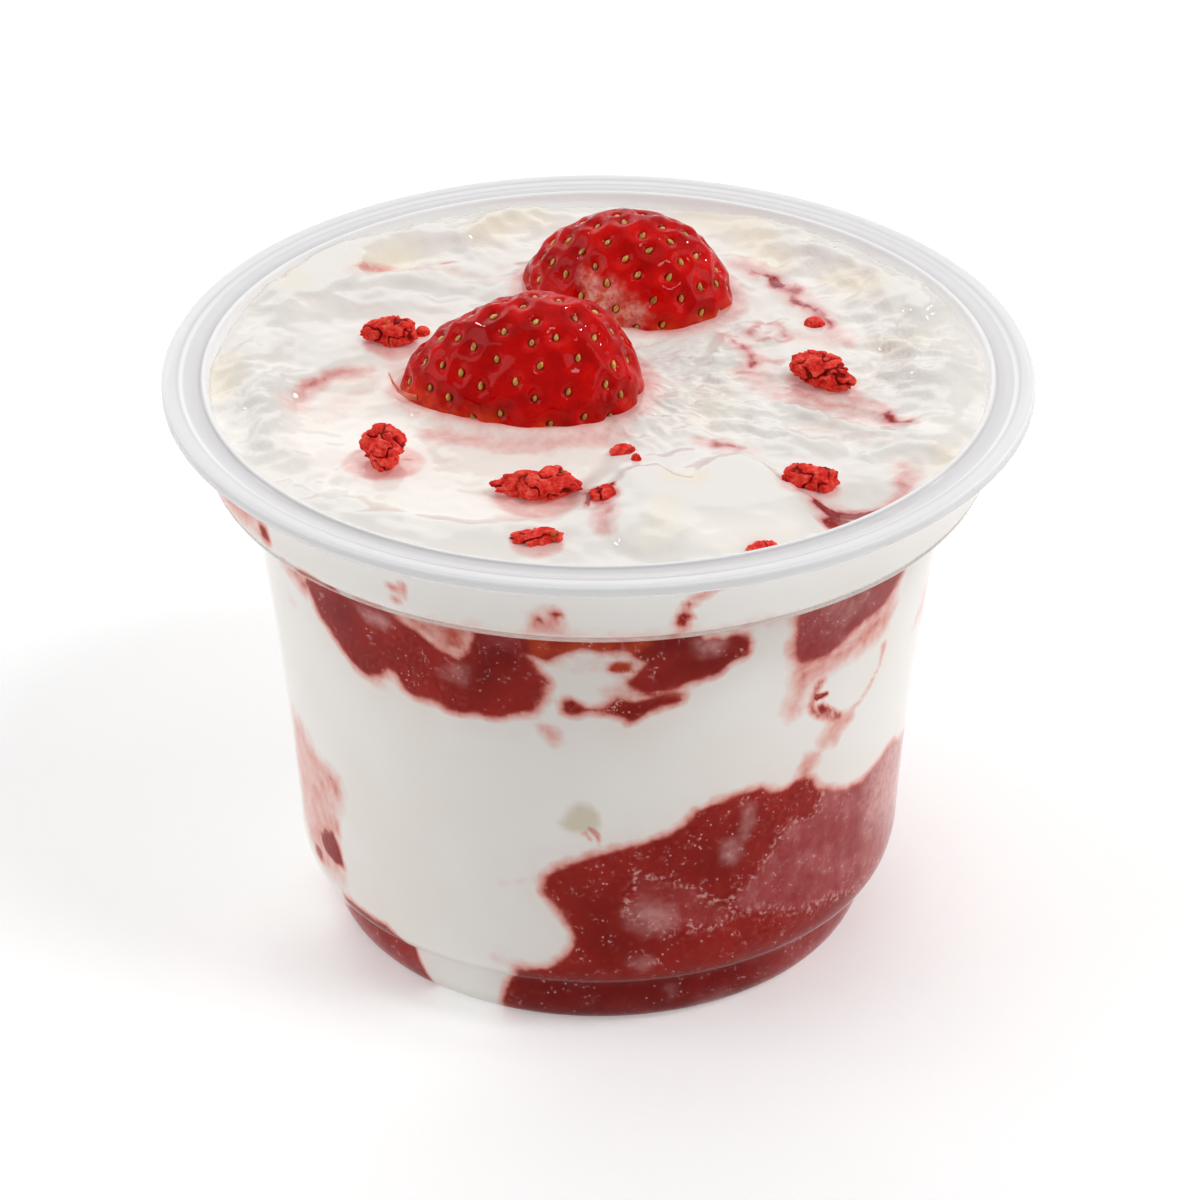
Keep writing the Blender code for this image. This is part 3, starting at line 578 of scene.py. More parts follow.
def cup_outside():
    """The cup's outer side (r, z), from under the flange down to the middle of the base."""
    fillet = SHOULDER_FILLET
    shoulder_top = (SHOULDER_TOP_RADIUS + fillet, UNDERSIDE_HEIGHT - fillet)
    points = arc(shoulder_top, fillet, fillet, 90, 180, FILLET_STEPS)
    shoulder_foot = (SHOULDER_FOOT_RADIUS - fillet, LEDGE_HEIGHT + fillet)
    points += arc(shoulder_foot, fillet, fillet, 0, -90, FILLET_STEPS)
    inner = LEDGE_FILLET
    body_top = (BODY_TOP_RADIUS + inner, LEDGE_HEIGHT - inner)
    points += arc(body_top, inner, inner, 90, 180, FILLET_STEPS)
    for step in range(1, BODY_STEPS + 1):
        drop = (LEDGE_HEIGHT - inner - BODY_FOOT_HEIGHT) * step / BODY_STEPS
        height = LEDGE_HEIGHT - inner - drop
        points.append((body_radius(height), height))
    heel_depth = BODY_FOOT_HEIGHT - HEEL_HEIGHT
    heel_width = BODY_FOOT_RADIUS - HEEL_RADIUS
    heel = arc((HEEL_RADIUS, BODY_FOOT_HEIGHT), heel_width, heel_depth, 0, -90, CURVE_STEPS)
    points += heel[1:]
    foot_width = FOOT_TOP_RADIUS - FOOT_BASE_RADIUS
    foot_centre = (FOOT_BASE_RADIUS, FOOT_TOP_HEIGHT)
    points += arc(foot_centre, foot_width, FOOT_TOP_HEIGHT, 0, -90, CURVE_STEPS)
    ring = FOOT_BASE_RADIUS - FOOT_RING_WIDTH
    points.append((ring, 0.0))
    points.append((ring - BASE_RECESS, BASE_RECESS))
    points.append((0.0, BASE_RECESS))
    return points


def offset_inwards(points, distance):
    """The profile moved towards the cup's inside, its corners mitred."""
    moved = []
    for index, (across, up) in enumerate(points):
        normal = Vector((0.0, 0.0))
        spans = []
        for first, second in ((index - 1, index), (index, index + 1)):
            if first < 0 or second >= len(points):
                continue
            along = Vector(points[second]) - Vector(points[first])
            spans.append(Vector((along.y, -along.x)).normalized())
        for span in spans:
            normal += span
        normal.normalize()
        reach = distance / max(normal.dot(spans[0]), 0.5)
        across = max(0.0, across + normal.x * reach)
        moved.append((across, up + normal.y * reach))
    moved[-1] = (0.0, points[-1][1] + distance)
    return moved


def cup_profile():
    """The section of the cup, from the middle of its inner floor over the rim and down its outside."""
    outside = cup_outside()
    inside = offset_inwards(outside, WALL)
    inside.reverse()
    inner_edge = SHOULDER_TOP_RADIUS - WALL
    inside = [point for point in inside if point[1] < HEIGHT - FLANGE_THICKNESS - SHOULDER_FILLET]
    band = HEIGHT - SEAL_RING_HEIGHT
    lip_centre = (FLANGE_RADIUS - LIP_RADIUS, HEIGHT - LIP_RADIUS)
    lip = arc(lip_centre, LIP_RADIUS, LIP_RADIUS, 90, 0, FILLET_STEPS)
    under_lip = HEIGHT - LIP_DROP
    bead_centre = (BEAD_RADIUS, HEIGHT - SEAL_RING_HEIGHT)
    bead = arc(bead_centre, 2 * SEAL_RING_HEIGHT, SEAL_RING_HEIGHT, 180, 0, FILLET_STEPS)
    rim = [
        (inner_edge, band - LIP_EDGE),
        *bead,
        (SEAL_RING_RADIUS - SEAL_RING_SLOPE, band),
        (SEAL_RING_RADIUS + SEAL_RING_SLOPE, HEIGHT),
        *lip,
        (FLANGE_RADIUS, under_lip + LIP_EDGE),
        (FLANGE_RADIUS - LIP_EDGE, under_lip),
        (FLANGE_RADIUS - FLANGE_THICKNESS, under_lip),
        (FLANGE_RADIUS - FLANGE_THICKNESS - LIP_EDGE, UNDERSIDE_HEIGHT),
    ]
    return inside + rim + outside


def link(obj, material, smooth=True):
    bpy.context.scene.collection.objects.link(obj)
    obj.data.materials.append(material)
    if smooth:
        obj.data.polygons.foreach_set("use_smooth", np.ones(len(obj.data.polygons), bool))
    return obj


def turned_mesh(name, rows):
    """A closed mesh from rows of points round Z, each row (segments, 3); the first and last are poles."""
    rows = np.asarray(rows)
    row_count, segments, _ = rows.shape
    points = rows.reshape(-1, 3)
    around = np.arange(segments)
    after = (around + 1) % segments
    faces = []
    for row in range(row_count - 1):
        upper = row * segments
        lower = upper + segments
        faces.append(np.stack([upper + around, lower + around, lower + after, upper + after], axis=1))
    faces = np.concatenate(faces)
    mesh = bpy.data.meshes.new(name)
    mesh.vertices.add(len(points))
    mesh.vertices.foreach_set("co", (points * MM).astype(np.float32).ravel())
    mesh.loops.add(len(faces) * 4)
    mesh.loops.foreach_set("vertex_index", faces.astype(np.int32).ravel())
    mesh.polygons.add(len(faces))
    mesh.polygons.foreach_set("loop_start", np.arange(len(faces), dtype=np.int32) * 4)
    mesh.update(calc_edges=True)
    mesh.validate()
    return mesh


def profile_rows(profile, segments):
    """Rows of points (segments, 3) for a profile (r, z), the first point of each row at the front."""
    angles = 2 * np.pi * np.arange(segments) / segments
    across = np.array([max(point[0], 0.001) for point in profile])
    up = np.array([point[1] for point in profile])
    x = across[:, None] * np.sin(angles)
    y = -across[:, None] * np.cos(angles)
    z = np.repeat(up[:, None], segments, axis=1)
    return np.stack([x, y, z], axis=-1)


def set_value(mesh, name, values):
    layer = mesh.attributes.new(name, "FLOAT", "POINT")
    layer.data.foreach_set("value", np.asarray(values, np.float32))


def form_height(x, y, form):
    """Height that one form of the top adds at points (x, y)."""
    centre_x, centre_y, length, width, heading, height, sharpness = form
    turn = math.radians(heading)
    along = (x - centre_x) * math.cos(turn) + (y - centre_y) * math.sin(turn)
    across = (y - centre_y) * math.cos(turn) - (x - centre_x) * math.sin(turn)
    distance = np.hypot(along / length, across / width)
    return height * np.exp(-(distance ** (2 * sharpness)))


def surface_height(x, y):
    """Height of the ice cream's top at points (x, y), as the solid has it."""
    x = np.atleast_1d(np.asarray(x, float))
    y = np.atleast_1d(np.asarray(y, float))
    share = np.minimum(1.0, np.hypot(x, y) / SHOULDER_TOP_RADIUS)
    height = CENTRE_LEVEL + (WALL_LEVEL - CENTRE_LEVEL) * share**2
    for form in TOP_FORMS:
        height = height + form_height(x, y, form)
    spots = np.stack([x, y, np.zeros_like(x)], axis=1) / ROUGHNESS_SIZE
    rough = np.array([noise.fractal(Vector(spot), 0.8, 2.2, 3) for spot in spots])
    return np.minimum(height + ROUGHNESS_HEIGHT * rough, HEIGHT - 0.3)


def blobs(points, size, seed):
    """Soft flat-topped lumps, 0 between them and 1 on top."""
    return smooth_step(-0.28, 0.34, fractal(points, size, 2, seed))


def step_height(x, y, points, step):
    """Height of one raised or recessed area; where it fades, only the edge it starts from stays crisp."""
    softness, height, fade, outline = step
    rise = height * smooth_step(-softness, softness, polygon_distance(points, outline))
    if fade is None:
        return rise
    start = np.array(fade[:2], float)
    along = np.array(fade[2:], float) - start
    share = ((x - start[0]) * along[0] + (y - start[1]) * along[1]) / (along @ along)
    return rise * smooth_step(1.0, 0.0, share)


def fine_relief(x, y):
    """Folds, curds and small lumps that lie on the solid's surface, and how curdled each point is."""
    spots = np.stack([x, y, np.zeros_like(x)], axis=1)
    curd = np.zeros_like(x)
    for centre_x, centre_y, length, width, heading, strength in CURDLED:
        form = (centre_x, centre_y, length, width, heading, strength, 1.5)
        curd = np.maximum(curd, form_height(x, y, form))
    bent = spots.copy()
    bent[:, 0] += 1.3 * fractal(spots, 4.0, 3, 4)
    bent[:, 1] += 1.3 * fractal(spots, 4.0, 3, 5)
    relief = form_height(x, y, LOBE_ROUNDED) - form_height(x, y, LOBE)
    edges = bent[:, :2] * 0.4 + spots[:, :2] * 0.6
    for step in TOP_STEPS:
        relief += step_height(x, y, edges, step)
    crest = np.zeros_like(x)
    for half_width, height, route in TOP_RIDGES:
        gap = route_distance(bent[:, :2], route)
        crest = np.maximum(crest, 0.8 * height * np.exp(-((gap / (1.35 * half_width)) ** 2)))
    relief += crest
    relief += (0.12 + 0.14 * curd) * fractal(bent, 6.0, 2, 1)
    relief += 0.46 * (blobs(bent, 3.2, 2) - 0.5) * curd
    relief += 0.22 * (blobs(bent, 1.5, 3) - 0.5) * (0.06 + curd)
    return relief, np.clip(curd + 0.5 * crest, 0.0, 1.0)


def berry_frame(name):
    """Matrix from a berry's own millimetres, its point towards -X, to the world's."""
    berry = BERRIES[name]
    x, y = berry["place"]
    share = min(1.0, math.hypot(x, y) / SHOULDER_TOP_RADIUS)
    level = CENTRE_LEVEL + (WALL_LEVEL - CENTRE_LEVEL) * share**2 - BERRY_SINK
    turn = Matrix.Rotation(math.radians(berry["heading"]), 4, "Z")
    return Matrix.Translation((x, y, level)) @ turn


def berry_gap(name, x, y):
    """Distance in the plan from a berry's foot outline, negative inside."""
    berry = BERRIES[name]
    turn = math.radians(berry["heading"])
    centre_x, centre_y = berry["place"]
    along = (x - centre_x) * math.cos(turn) + (y - centre_y) * math.sin(turn)
    across = (y - centre_y) * math.cos(turn) - (x - centre_x) * math.sin(turn)
    half_length = berry["length"] / 2
    half_width = berry["width"] / 2 * (1 + berry["taper"] * np.clip(along / half_length, -1, 1))
    return (np.hypot(along / half_length, across / half_width) - 1.0) * berry["width"] / 2


def patch_strength(points, patches):
    """How far inside the patches points (arc, height) are: 0 outside, half on an edge, 1 well inside."""
    strength = np.zeros(len(points))
    for reach, peak, outline in patches:
        scaled = [(azimuth * ARC_PER_DEGREE, height) for azimuth, height in outline]
        gap = polygon_distance(points, scaled)
        strength = np.maximum(strength, peak * np.clip(0.5 + gap / (2 * reach), 0.0, 1.0))
    return strength


def edge_strength(points, patches):
    """1 on the edges of the crisp patches, falling off within half a millimetre."""
    strength = np.zeros(len(points))
    for reach, peak, outline in patches:
        if reach < 0.5:
            scaled = [(azimuth * ARC_PER_DEGREE, height) for azimuth, height in outline]
            gap = polygon_distance(points, scaled)
            strength = np.maximum(strength, np.exp(-((gap / 0.5) ** 2)))
    return strength


def route_strength(points, routes, scale=(1.0, 1.0), reach=1.0):
    """How near points are to the routes: the peak along a route, nothing beyond twice its half width."""
    strength = np.zeros(len(points))
    for half_width, peak, route in routes:
        scaled = [(first * scale[0], second * scale[1]) for first, second in route]
        gap = route_distance(points, scaled)
        strength = np.maximum(strength, peak * np.exp(-((gap / (reach * half_width)) ** 2)))
    return strength


def filling_side():
    """Profile (r, z) of the filling where it meets the cup, down to the middle of the base."""
    edge = SHOULDER_TOP_RADIUS - WALL + INTO_WALL
    wall = offset_inwards(cup_outside(), WALL - INTO_WALL)
    deeper = offset_inwards(cup_outside(), WALL - INTO_FOOT)
    for index, (first, second) in enumerate(zip(wall, deeper)):
        share = float(smooth_step(5.0, 2.0, first[1]))
        wall[index] = (first[0] + (second[0] - first[0]) * share, first[1] + (second[1] - first[1]) * share)
    wall = [point for point in wall if point[1] < LEDGE_HEIGHT + SHOULDER_FILLET + WALL]
    side = [(edge, WALL_LEVEL)]
    for point in wall:
        start = side[-1]
        under = max(start[0], point[0]) < FOOT_BASE_RADIUS
        spacing = BASE_ROW_WIDTH if under else WALL_ROW_HEIGHT
        steps = max(1, round(math.dist(start, point) / spacing))
        for step in range(1, steps + 1):
            share = step / steps
            side.append((start[0] + (point[0] - start[0]) * share, start[1] + (point[1] - start[1]) * share))
    return side


def shape_top(x, y, edge):
    """Heights of the filling's top, how curdled each point is, and how hollow."""
    relief, curd = fine_relief(x, y)
    near_wall = smooth_step(edge - 3.0, edge, np.hypot(x, y))
    seat = np.minimum(berry_gap("strawberry_front", x, y), berry_gap("strawberry_back", x, y))
    calm = smooth_step(0.0, 2.5, seat)
    height = surface_height(x, y) + relief * calm * (1 - 0.5 * near_wall)
    height += 0.30 * np.exp(-((seat - 0.6) ** 2) / 1.0)
    climb = 0.5 + 0.5 * fractal(np.stack([x, y, 0 * x], axis=1), 5.0, 3, 11)
    height += 0.6 * near_wall * climb
    return np.minimum(height, HEIGHT - 0.25), curd, smooth_step(0.15, -0.45, relief)


def wall_values(unrolled):
    """The marbling at points (arc, height) of the side, by name."""
    swirl = np.stack([unrolled[:, 0], unrolled[:, 1], np.zeros(len(unrolled))], axis=1)
    ripple = np.stack([fractal(swirl, 4.0, 3, 21), fractal(swirl, 4.0, 3, 22)], axis=1)
    behind = smooth_step(70.0, 105.0, np.abs(unrolled[:, 0]) / ARC_PER_DEGREE)[:, None]
    bent = unrolled + (RIPPLE + BACK_RIPPLE * behind) * ripple
    height = unrolled[:, 1]
    below_ledge = smooth_step(56.1, 55.2, height)
    masses = patch_strength(bent, WALL_SAUCE + BACK_SAUCE)
    film = patch_strength(bent, WALL_FILM)
    runs = route_strength(bent, WALL_STREAKS, (ARC_PER_DEGREE, 1.0), 1.3)
    wide = [(4.0, peak, line) for _, peak, line in WALL_SAUCE]
    return {
        "sauce": np.maximum(masses * below_ledge, np.maximum(film, runs)),
        "seep": patch_strength(bent, wide) * below_ledge,
        "frost": patch_strength(bent, FROST_PATCHES),
        "rim": edge_strength(bent, FROST_PATCHES),
        "pale": patch_strength(bent, PALE_PATCHES),
        "bright": patch_strength(bent, BRIGHT_PATCHES),
        "dark": patch_strength(bent, DARK_PATCHES),
        # spot carries the painted shade of the air hollow
        "spot": patch_strength(bent, SHADED_HOLLOW_SPOTS),
    }


def top_values(plan):
    """Sauce, juice stains with painted red glow round the berries and pieces, and cream-yellow tints at
    points (x, y) of the top.
    """
    flat_noise = np.stack([plan[:, 0], plan[:, 1], np.zeros(len(plan))], axis=1)
    ripple = np.stack([fractal(flat_noise, 3.0, 3, 31), fractal(flat_noise, 3.0, 3, 32)], axis=1)
    bent = plan + 0.9 * ripple
    sauce_and_red_glow = route_strength(bent, TOP_SAUCE)
    front = berry_gap("strawberry_front", plan[:, 0], plan[:, 1])
    back = berry_gap("strawberry_back", plan[:, 0], plan[:, 1])
    # Pink round the berries and the dried pieces: juice stains, and painted red glow from them
    sauce_and_red_glow = np.maximum(sauce_and_red_glow, 0.30 * smooth_step(3.0, 0.0, np.minimum(front, back)))
    for x_piece, y_piece, _, radii in PIECES:
        gap = np.hypot(plan[:, 0] - x_piece, plan[:, 1] - y_piece + 0.5) - 0.75 * max(radii)
        sauce_and_red_glow = np.maximum(sauce_and_red_glow, 0.26 * smooth_step(1.7, 0.0, gap))
    return {"sauce": sauce_and_red_glow, "yellow": route_strength(bent, TOP_YELLOW)}


def ice_cream_piece(material):
    """The filling: a relief top, and sides that reach just into the cup's wall so that no air gap shows."""
    side = filling_side()
    edge = side[0][0]
    top = [(edge * ring / TOP_ROWS, WALL_LEVEL) for ring in range(TOP_ROWS)]
    rows = profile_rows(top + side, FILLING_SEGMENTS)
    flat = rows.reshape(-1, 3)
    top_count = (TOP_ROWS + 1) * FILLING_SEGMENTS
    plan = flat[:top_count, :2]
    height, curd, hollow = shape_top(plan[:, 0], plan[:, 1], edge)
    flat[:top_count, 2] = height
    lip = height[-FILLING_SEGMENTS:]
    reach = WALL_LEVEL - 58.0
    for row in flat[top_count:].reshape(-1, FILLING_SEGMENTS, 3):
        share = np.clip((row[0, 2] - 58.0) / reach, 0.0, 1.0)
        row[:, 2] += share**2 * (lip - WALL_LEVEL)
    mesh = turned_mesh("ice_cream_marbled", rows)

    points = mesh_points(mesh) / MM
    azimuth = np.degrees(np.arctan2(points[:, 0], -points[:, 1]))
    unrolled = np.stack([azimuth * ARC_PER_DEGREE, points[:, 2]], axis=1)
    on_side = wall_values(unrolled[top_count:])
    on_top = top_values(points[:top_count, :2])
    on_top.update({"curd": curd, "hollow": hollow, "top": np.ones(top_count)})
    for name in sorted({*on_side, *on_top}):
        values = np.zeros(len(points))
        values[:top_count] = on_top.get(name, 0.0)
        values[top_count:] = on_side.get(name, 0.0)
        set_value(mesh, name, values)
    piece = bpy.data.objects.new("ice_cream_marbled", mesh)
    return link(piece, material)


def berry_shape(direction, berry):
    """Surface point of a half strawberry, in its own millimetres, for a unit direction."""
    along, side, up = direction
    width = 1.0 + berry["taper"] * along
    tip = 1.0 + berry["point"] * max(0.0, -along) ** 4
    ripple = BERRY_LUMP_HEIGHT * noise.noise(Vector(direction) * berry["length"] / (2 * BERRY_LUMP_SIZE))
    return Vector(
        (
            along * tip * (berry["length"] / 2 + ripple),
            side * width * (berry["width"] / 2 + ripple),
            up * width * (berry["height"] + ripple),
        )
    )


def seed_directions(berry):
    """Unit directions of the seeds: a golden-angle spiral round the berry's long axis, with jitter."""
    draw = random.Random(berry["seed"])
    golden = math.pi * (3 - math.sqrt(5))
    found = []
    for index in range(SEED_COUNT):
        along = 1 - 2 * (index + 0.5) / SEED_COUNT
        ring = math.sqrt(1 - along * along)
        angle = golden * index
        direction = Vector((along, ring * math.cos(angle), ring * math.sin(angle)))
        direction += Vector((draw.uniform(-1, 1), draw.uniform(-1, 1), draw.uniform(-1, 1))) * 0.055
        direction.normalize()
        if direction.z > 0.05:
            found.append(direction)
    return found


def nearest_distance(points, centres):
    """Distance from each point to the nearest of a few centres."""
    nearest = np.full(len(points), np.inf)
    for centre in centres:
        nearest = np.minimum(nearest, np.linalg.norm(points - centre, axis=1))
    return nearest


def mesh_points(mesh):
    points = np.empty(len(mesh.vertices) * 3, np.float32)
    mesh.vertices.foreach_get("co", points)
    return points.reshape(-1, 3).astype(float)


def put_points(mesh, points):
    mesh.vertices.foreach_set("co", np.asarray(points, np.float32).ravel())
    mesh.update()


def transformed(points, matrix):
    matrix = np.array(matrix)
    return points @ matrix[:3, :3].T + matrix[:3, 3]


def half_ball(name):
    """A closed half of a fine unit ball, its flat side down."""
    shape = bmesh.new()
    bmesh.ops.create_icosphere(shape, subdivisions=BERRY_SUBDIVISIONS, radius=1.0)
    every = shape.verts[:] + shape.edges[:] + shape.faces[:]
    bmesh.ops.bisect_plane(shape, geom=every, plane_co=(0, 0, 0), plane_no=(0, 0, 1), clear_inner=True)
    rim = [edge for edge in shape.edges if edge.is_boundary]
    bmesh.ops.edgeloop_fill(shape, edges=rim)
    mesh = bpy.data.meshes.new(name)
    shape.to_mesh(mesh)
    shape.free()
    return mesh


def berry_piece(name, skin, seed_material):
    """A glazed half strawberry with hollows and pits, and the seeds that sit in them."""
    berry = BERRIES[name]
    directions = seed_directions(berry)
    centres = np.array([berry_shape(direction, berry) for direction in directions])
    mesh = half_ball(name + "_glazed")
    units = mesh_points(mesh)
    units /= np.linalg.norm(units, axis=1)[:, None]
    spots = np.array([berry_shape(Vector(unit), berry) for unit in units])
    gap = nearest_distance(spots, centres)
    hollow = np.exp(-((gap / HOLLOW_RADIUS) ** 2))
    pit = np.exp(-((gap / PIT_RADIUS) ** 4))
    creases = np.abs(fractal(spots, 4.0, 2, berry["seed"]))
    depth = HOLLOW_DEPTH * hollow + PIT_DEPTH * pit + 0.30 * creases * (1 - pit) + 0.02
    length = np.linalg.norm(spots, axis=1)
    points = spots * (1 - depth / length)[:, None]
    points[:, 2] = np.maximum(points[:, 2], 0.0)
    points = transformed(points, berry_frame(name))
    put_points(mesh, points * MM)
    # pit also darkens the skin there in its material, as painted shade
    set_value(mesh, "pit", pit)
    set_value(mesh, "low", smooth_step(3.5, 0.0, spots[:, 2]))
    flesh = np.zeros(len(points))
    if name == "strawberry_back":
        start, end = np.array(FLESH_ROUTE)
        along = end - start
        share = np.clip((points - start) @ along / (along @ along), 0.0, 1.0)
        away = np.linalg.norm(points - start - share[:, None] * along, axis=1)
        away += 1.1 * fractal(points, 2.5, 3, 9)
        flesh = smooth_step(FLESH_RADIUS, 0.4 * FLESH_RADIUS, away)
    set_value(mesh, "flesh", flesh)
    piece = link(bpy.data.objects.new(name + "_glazed", mesh), skin)
    seeds = seeds_piece(name, berry, directions, centres, seed_material)
    return piece, seeds


def seeds_piece(name, berry, directions, centres, material):
    """All seeds of one berry, joined: small teardrops with their long side towards the berry's crest."""
    draw = random.Random(berry["seed"] + 100)
    shape = bmesh.new()
    bmesh.ops.create_uvsphere(shape, u_segments=14, v_segments=9, radius=0.5)
    shape.verts.ensure_lookup_table()
    template = np.array([point.co for point in shape.verts])
    faces = [[point.index for point in face.verts] for face in shape.faces]
    shape.free()
    template[:, 1] *= 1.0 - 0.9 * np.maximum(0.0, template[:, 0])
    template *= (SEED_LENGTH, SEED_WIDTH, SEED_THICKNESS)
    every_point = []
    every_face = []
    for direction, centre in zip(directions, centres):
        normal = Vector(
            (
                direction.x / berry["length"],
                direction.y / berry["width"],
                direction.z / (2 * berry["height"]),
            )
        ).normalized()
        towards = Vector((-direction.x * 0.3, -direction.y, 1.0 - direction.z)) + Vector((0.12, 0, 0))
        towards += Vector((draw.uniform(-0.3, 0.3), draw.uniform(-0.2, 0.2), 0))
        long_side = (towards - normal * towards.dot(normal)).normalized()
        turn = Matrix((long_side, normal.cross(long_side), normal)).transposed()
        sunk = centre - normal * (HOLLOW_DEPTH + PIT_DEPTH * draw.uniform(0.75, 1.05))
        start = len(every_point) * len(template)
        every_point.append(template * draw.uniform(0.82, 1.1) @ np.array(turn).T + np.array(sunk))
        every_face += [[start + index for index in face] for face in faces]
    points = transformed(np.concatenate(every_point), berry_frame(name)) * MM
    mesh = bpy.data.meshes.new(name + "_seeds")
    mesh.from_pydata(points.tolist(), [], every_face)
    return link(bpy.data.objects.new(name + "_seeds", mesh), material)


def hair_piece(material):
    """The thin tapering hair at the front strawberry's tip, a swept tube with closed ends."""
    shape = bmesh.new()
    rings = []
    for number, (radius, place) in enumerate(HAIR):
        before = Vector(HAIR[max(0, number - 1)][1])
        after = Vector(HAIR[min(len(HAIR) - 1, number + 1)][1])
        turn = (after - before).to_track_quat("Z", "Y").to_matrix()
        ring = []
        for side in range(HAIR_SIDES):
            angle = 2 * math.pi * side / HAIR_SIDES
            offset = turn @ Vector((radius * math.cos(angle), radius * math.sin(angle), 0.0))
            ring.append(shape.verts.new((Vector(place) + offset) * MM))
        rings.append(ring)
    for lower, upper in zip(rings, rings[1:]):
        for side in range(HAIR_SIDES):
            after = (side + 1) % HAIR_SIDES
            shape.faces.new((lower[side], lower[after], upper[after], upper[side]))
    shape.faces.new(rings[0][::-1])
    shape.faces.new(rings[-1])
    mesh = bpy.data.meshes.new("strawberry_hair")
    shape.to_mesh(mesh)
    shape.free()
    return link(bpy.data.objects.new("strawberry_hair", mesh), material)


def outline_radius(angle, radii):
    """Radius of a closed outline at an angle, with a smooth change between its given radii."""
    place = (angle / (2 * math.pi)) % 1.0 * len(radii)
    index = int(place)
    share = place - index
    blend = share * share * (3 - 2 * share)
    return radii[index % len(radii)] * (1 - blend) + radii[(index + 1) % len(radii)] * blend


def dried_piece(number, material):
    """A rough, wrinkled chunk of dried strawberry."""
    x, y, thickness, radii = PIECES[number]
    shape = bmesh.new()
    bmesh.ops.create_icosphere(shape, subdivisions=PIECE_SUBDIVISIONS, radius=1.0)
    name = f"dried_chunk_{number + 1}"
    mesh = bpy.data.meshes.new(name)
    shape.to_mesh(mesh)
    shape.free()
    draw = random.Random(number)
    shift = Vector((draw.uniform(0, 50), draw.uniform(0, 50), draw.uniform(0, 50)))
    units = mesh_points(mesh)
    base = []
    for unit in units:
        direction = Vector(unit).normalized()
        reach = outline_radius(math.atan2(direction.y, direction.x), radii)
        rough = 1.0 + PIECE_ROUGHNESS * noise.fractal(direction * PIECE_GRAIN + shift, 0.7, 2.1, 3)
        scale = Vector((reach, reach, thickness / 2)) * rough
        base.append(tuple(direction * scale))
    base = np.array(base)
    crags = np.abs(fractal(base, 2.6, 2, number + 41))
    wrinkles = np.abs(fractal(base, 1.1, 2, number + 61))
    pit = np.clip(smooth_step(0.16, 0.0, crags) + 0.4 * smooth_step(0.14, 0.0, wrinkles), 0.0, 1.0)
    dents = np.maximum(0.0, -fractal(base, 2.2, 2, number + 81))
    points = base * (1.0 - 0.16 * pit - 0.26 * dents)[:, None]
    points += (x, y, surface_height(x, y)[0] + thickness / 2 - PIECE_SINK)
    put_points(mesh, points * MM)
    # pit also darkens the chunk there in its material, as painted shade
    set_value(mesh, "pit", pit)
    return link(bpy.data.objects.new(name, mesh), material)


def crumbs_piece(material):
    """The small crumbs of dried strawberry, joined in one piece."""
    joined = bmesh.new()
    layer = joined.verts.layers.float.new("pit")
    for number, (x, y, length, width, heading) in enumerate(CRUMBS):
        made = bmesh.ops.create_icosphere(joined, subdivisions=4, radius=1.0)["verts"]
        shift = Vector((number * 11.0, 3.0, 5.0))
        for point in made:
            rough = noise.fractal(point.co * 1.6 + shift, 0.6, 2.2, 4)
            # the dents' depth, which the material darkens as painted shade
            point[layer] = max(0.0, -rough)
            point.co *= 1.0 + 0.3 * min(0.0, rough)
            point.co = Vector((point.co.x * length, point.co.y * width, point.co.z * CRUMB_HEIGHT))
        turn = Matrix.Rotation(math.radians(heading), 4, "Z")
        place = Matrix.Translation((x, y, surface_height(x, y)[0]))
        bmesh.ops.transform(joined, matrix=place @ turn, verts=made)
    bmesh.ops.scale(joined, vec=(MM, MM, MM), verts=joined.verts)
    mesh = bpy.data.meshes.new("dried_crumbs")
    joined.to_mesh(mesh)
    joined.free()
    return link(bpy.data.objects.new("dried_crumbs", mesh), material)


def cup_piece(material):
    """The cup's shell, turned with fine steps."""
    mesh = turned_mesh("cup_shell", profile_rows(cup_profile(), CUP_SEGMENTS))
    height = mesh_points(mesh)[:, 2] / MM
    set_value(mesh, "haze", smooth_step(UNDERSIDE_HEIGHT - 1.2, UNDERSIDE_HEIGHT, height))
    return link(bpy.data.objects.new("cup_shell", mesh), material)


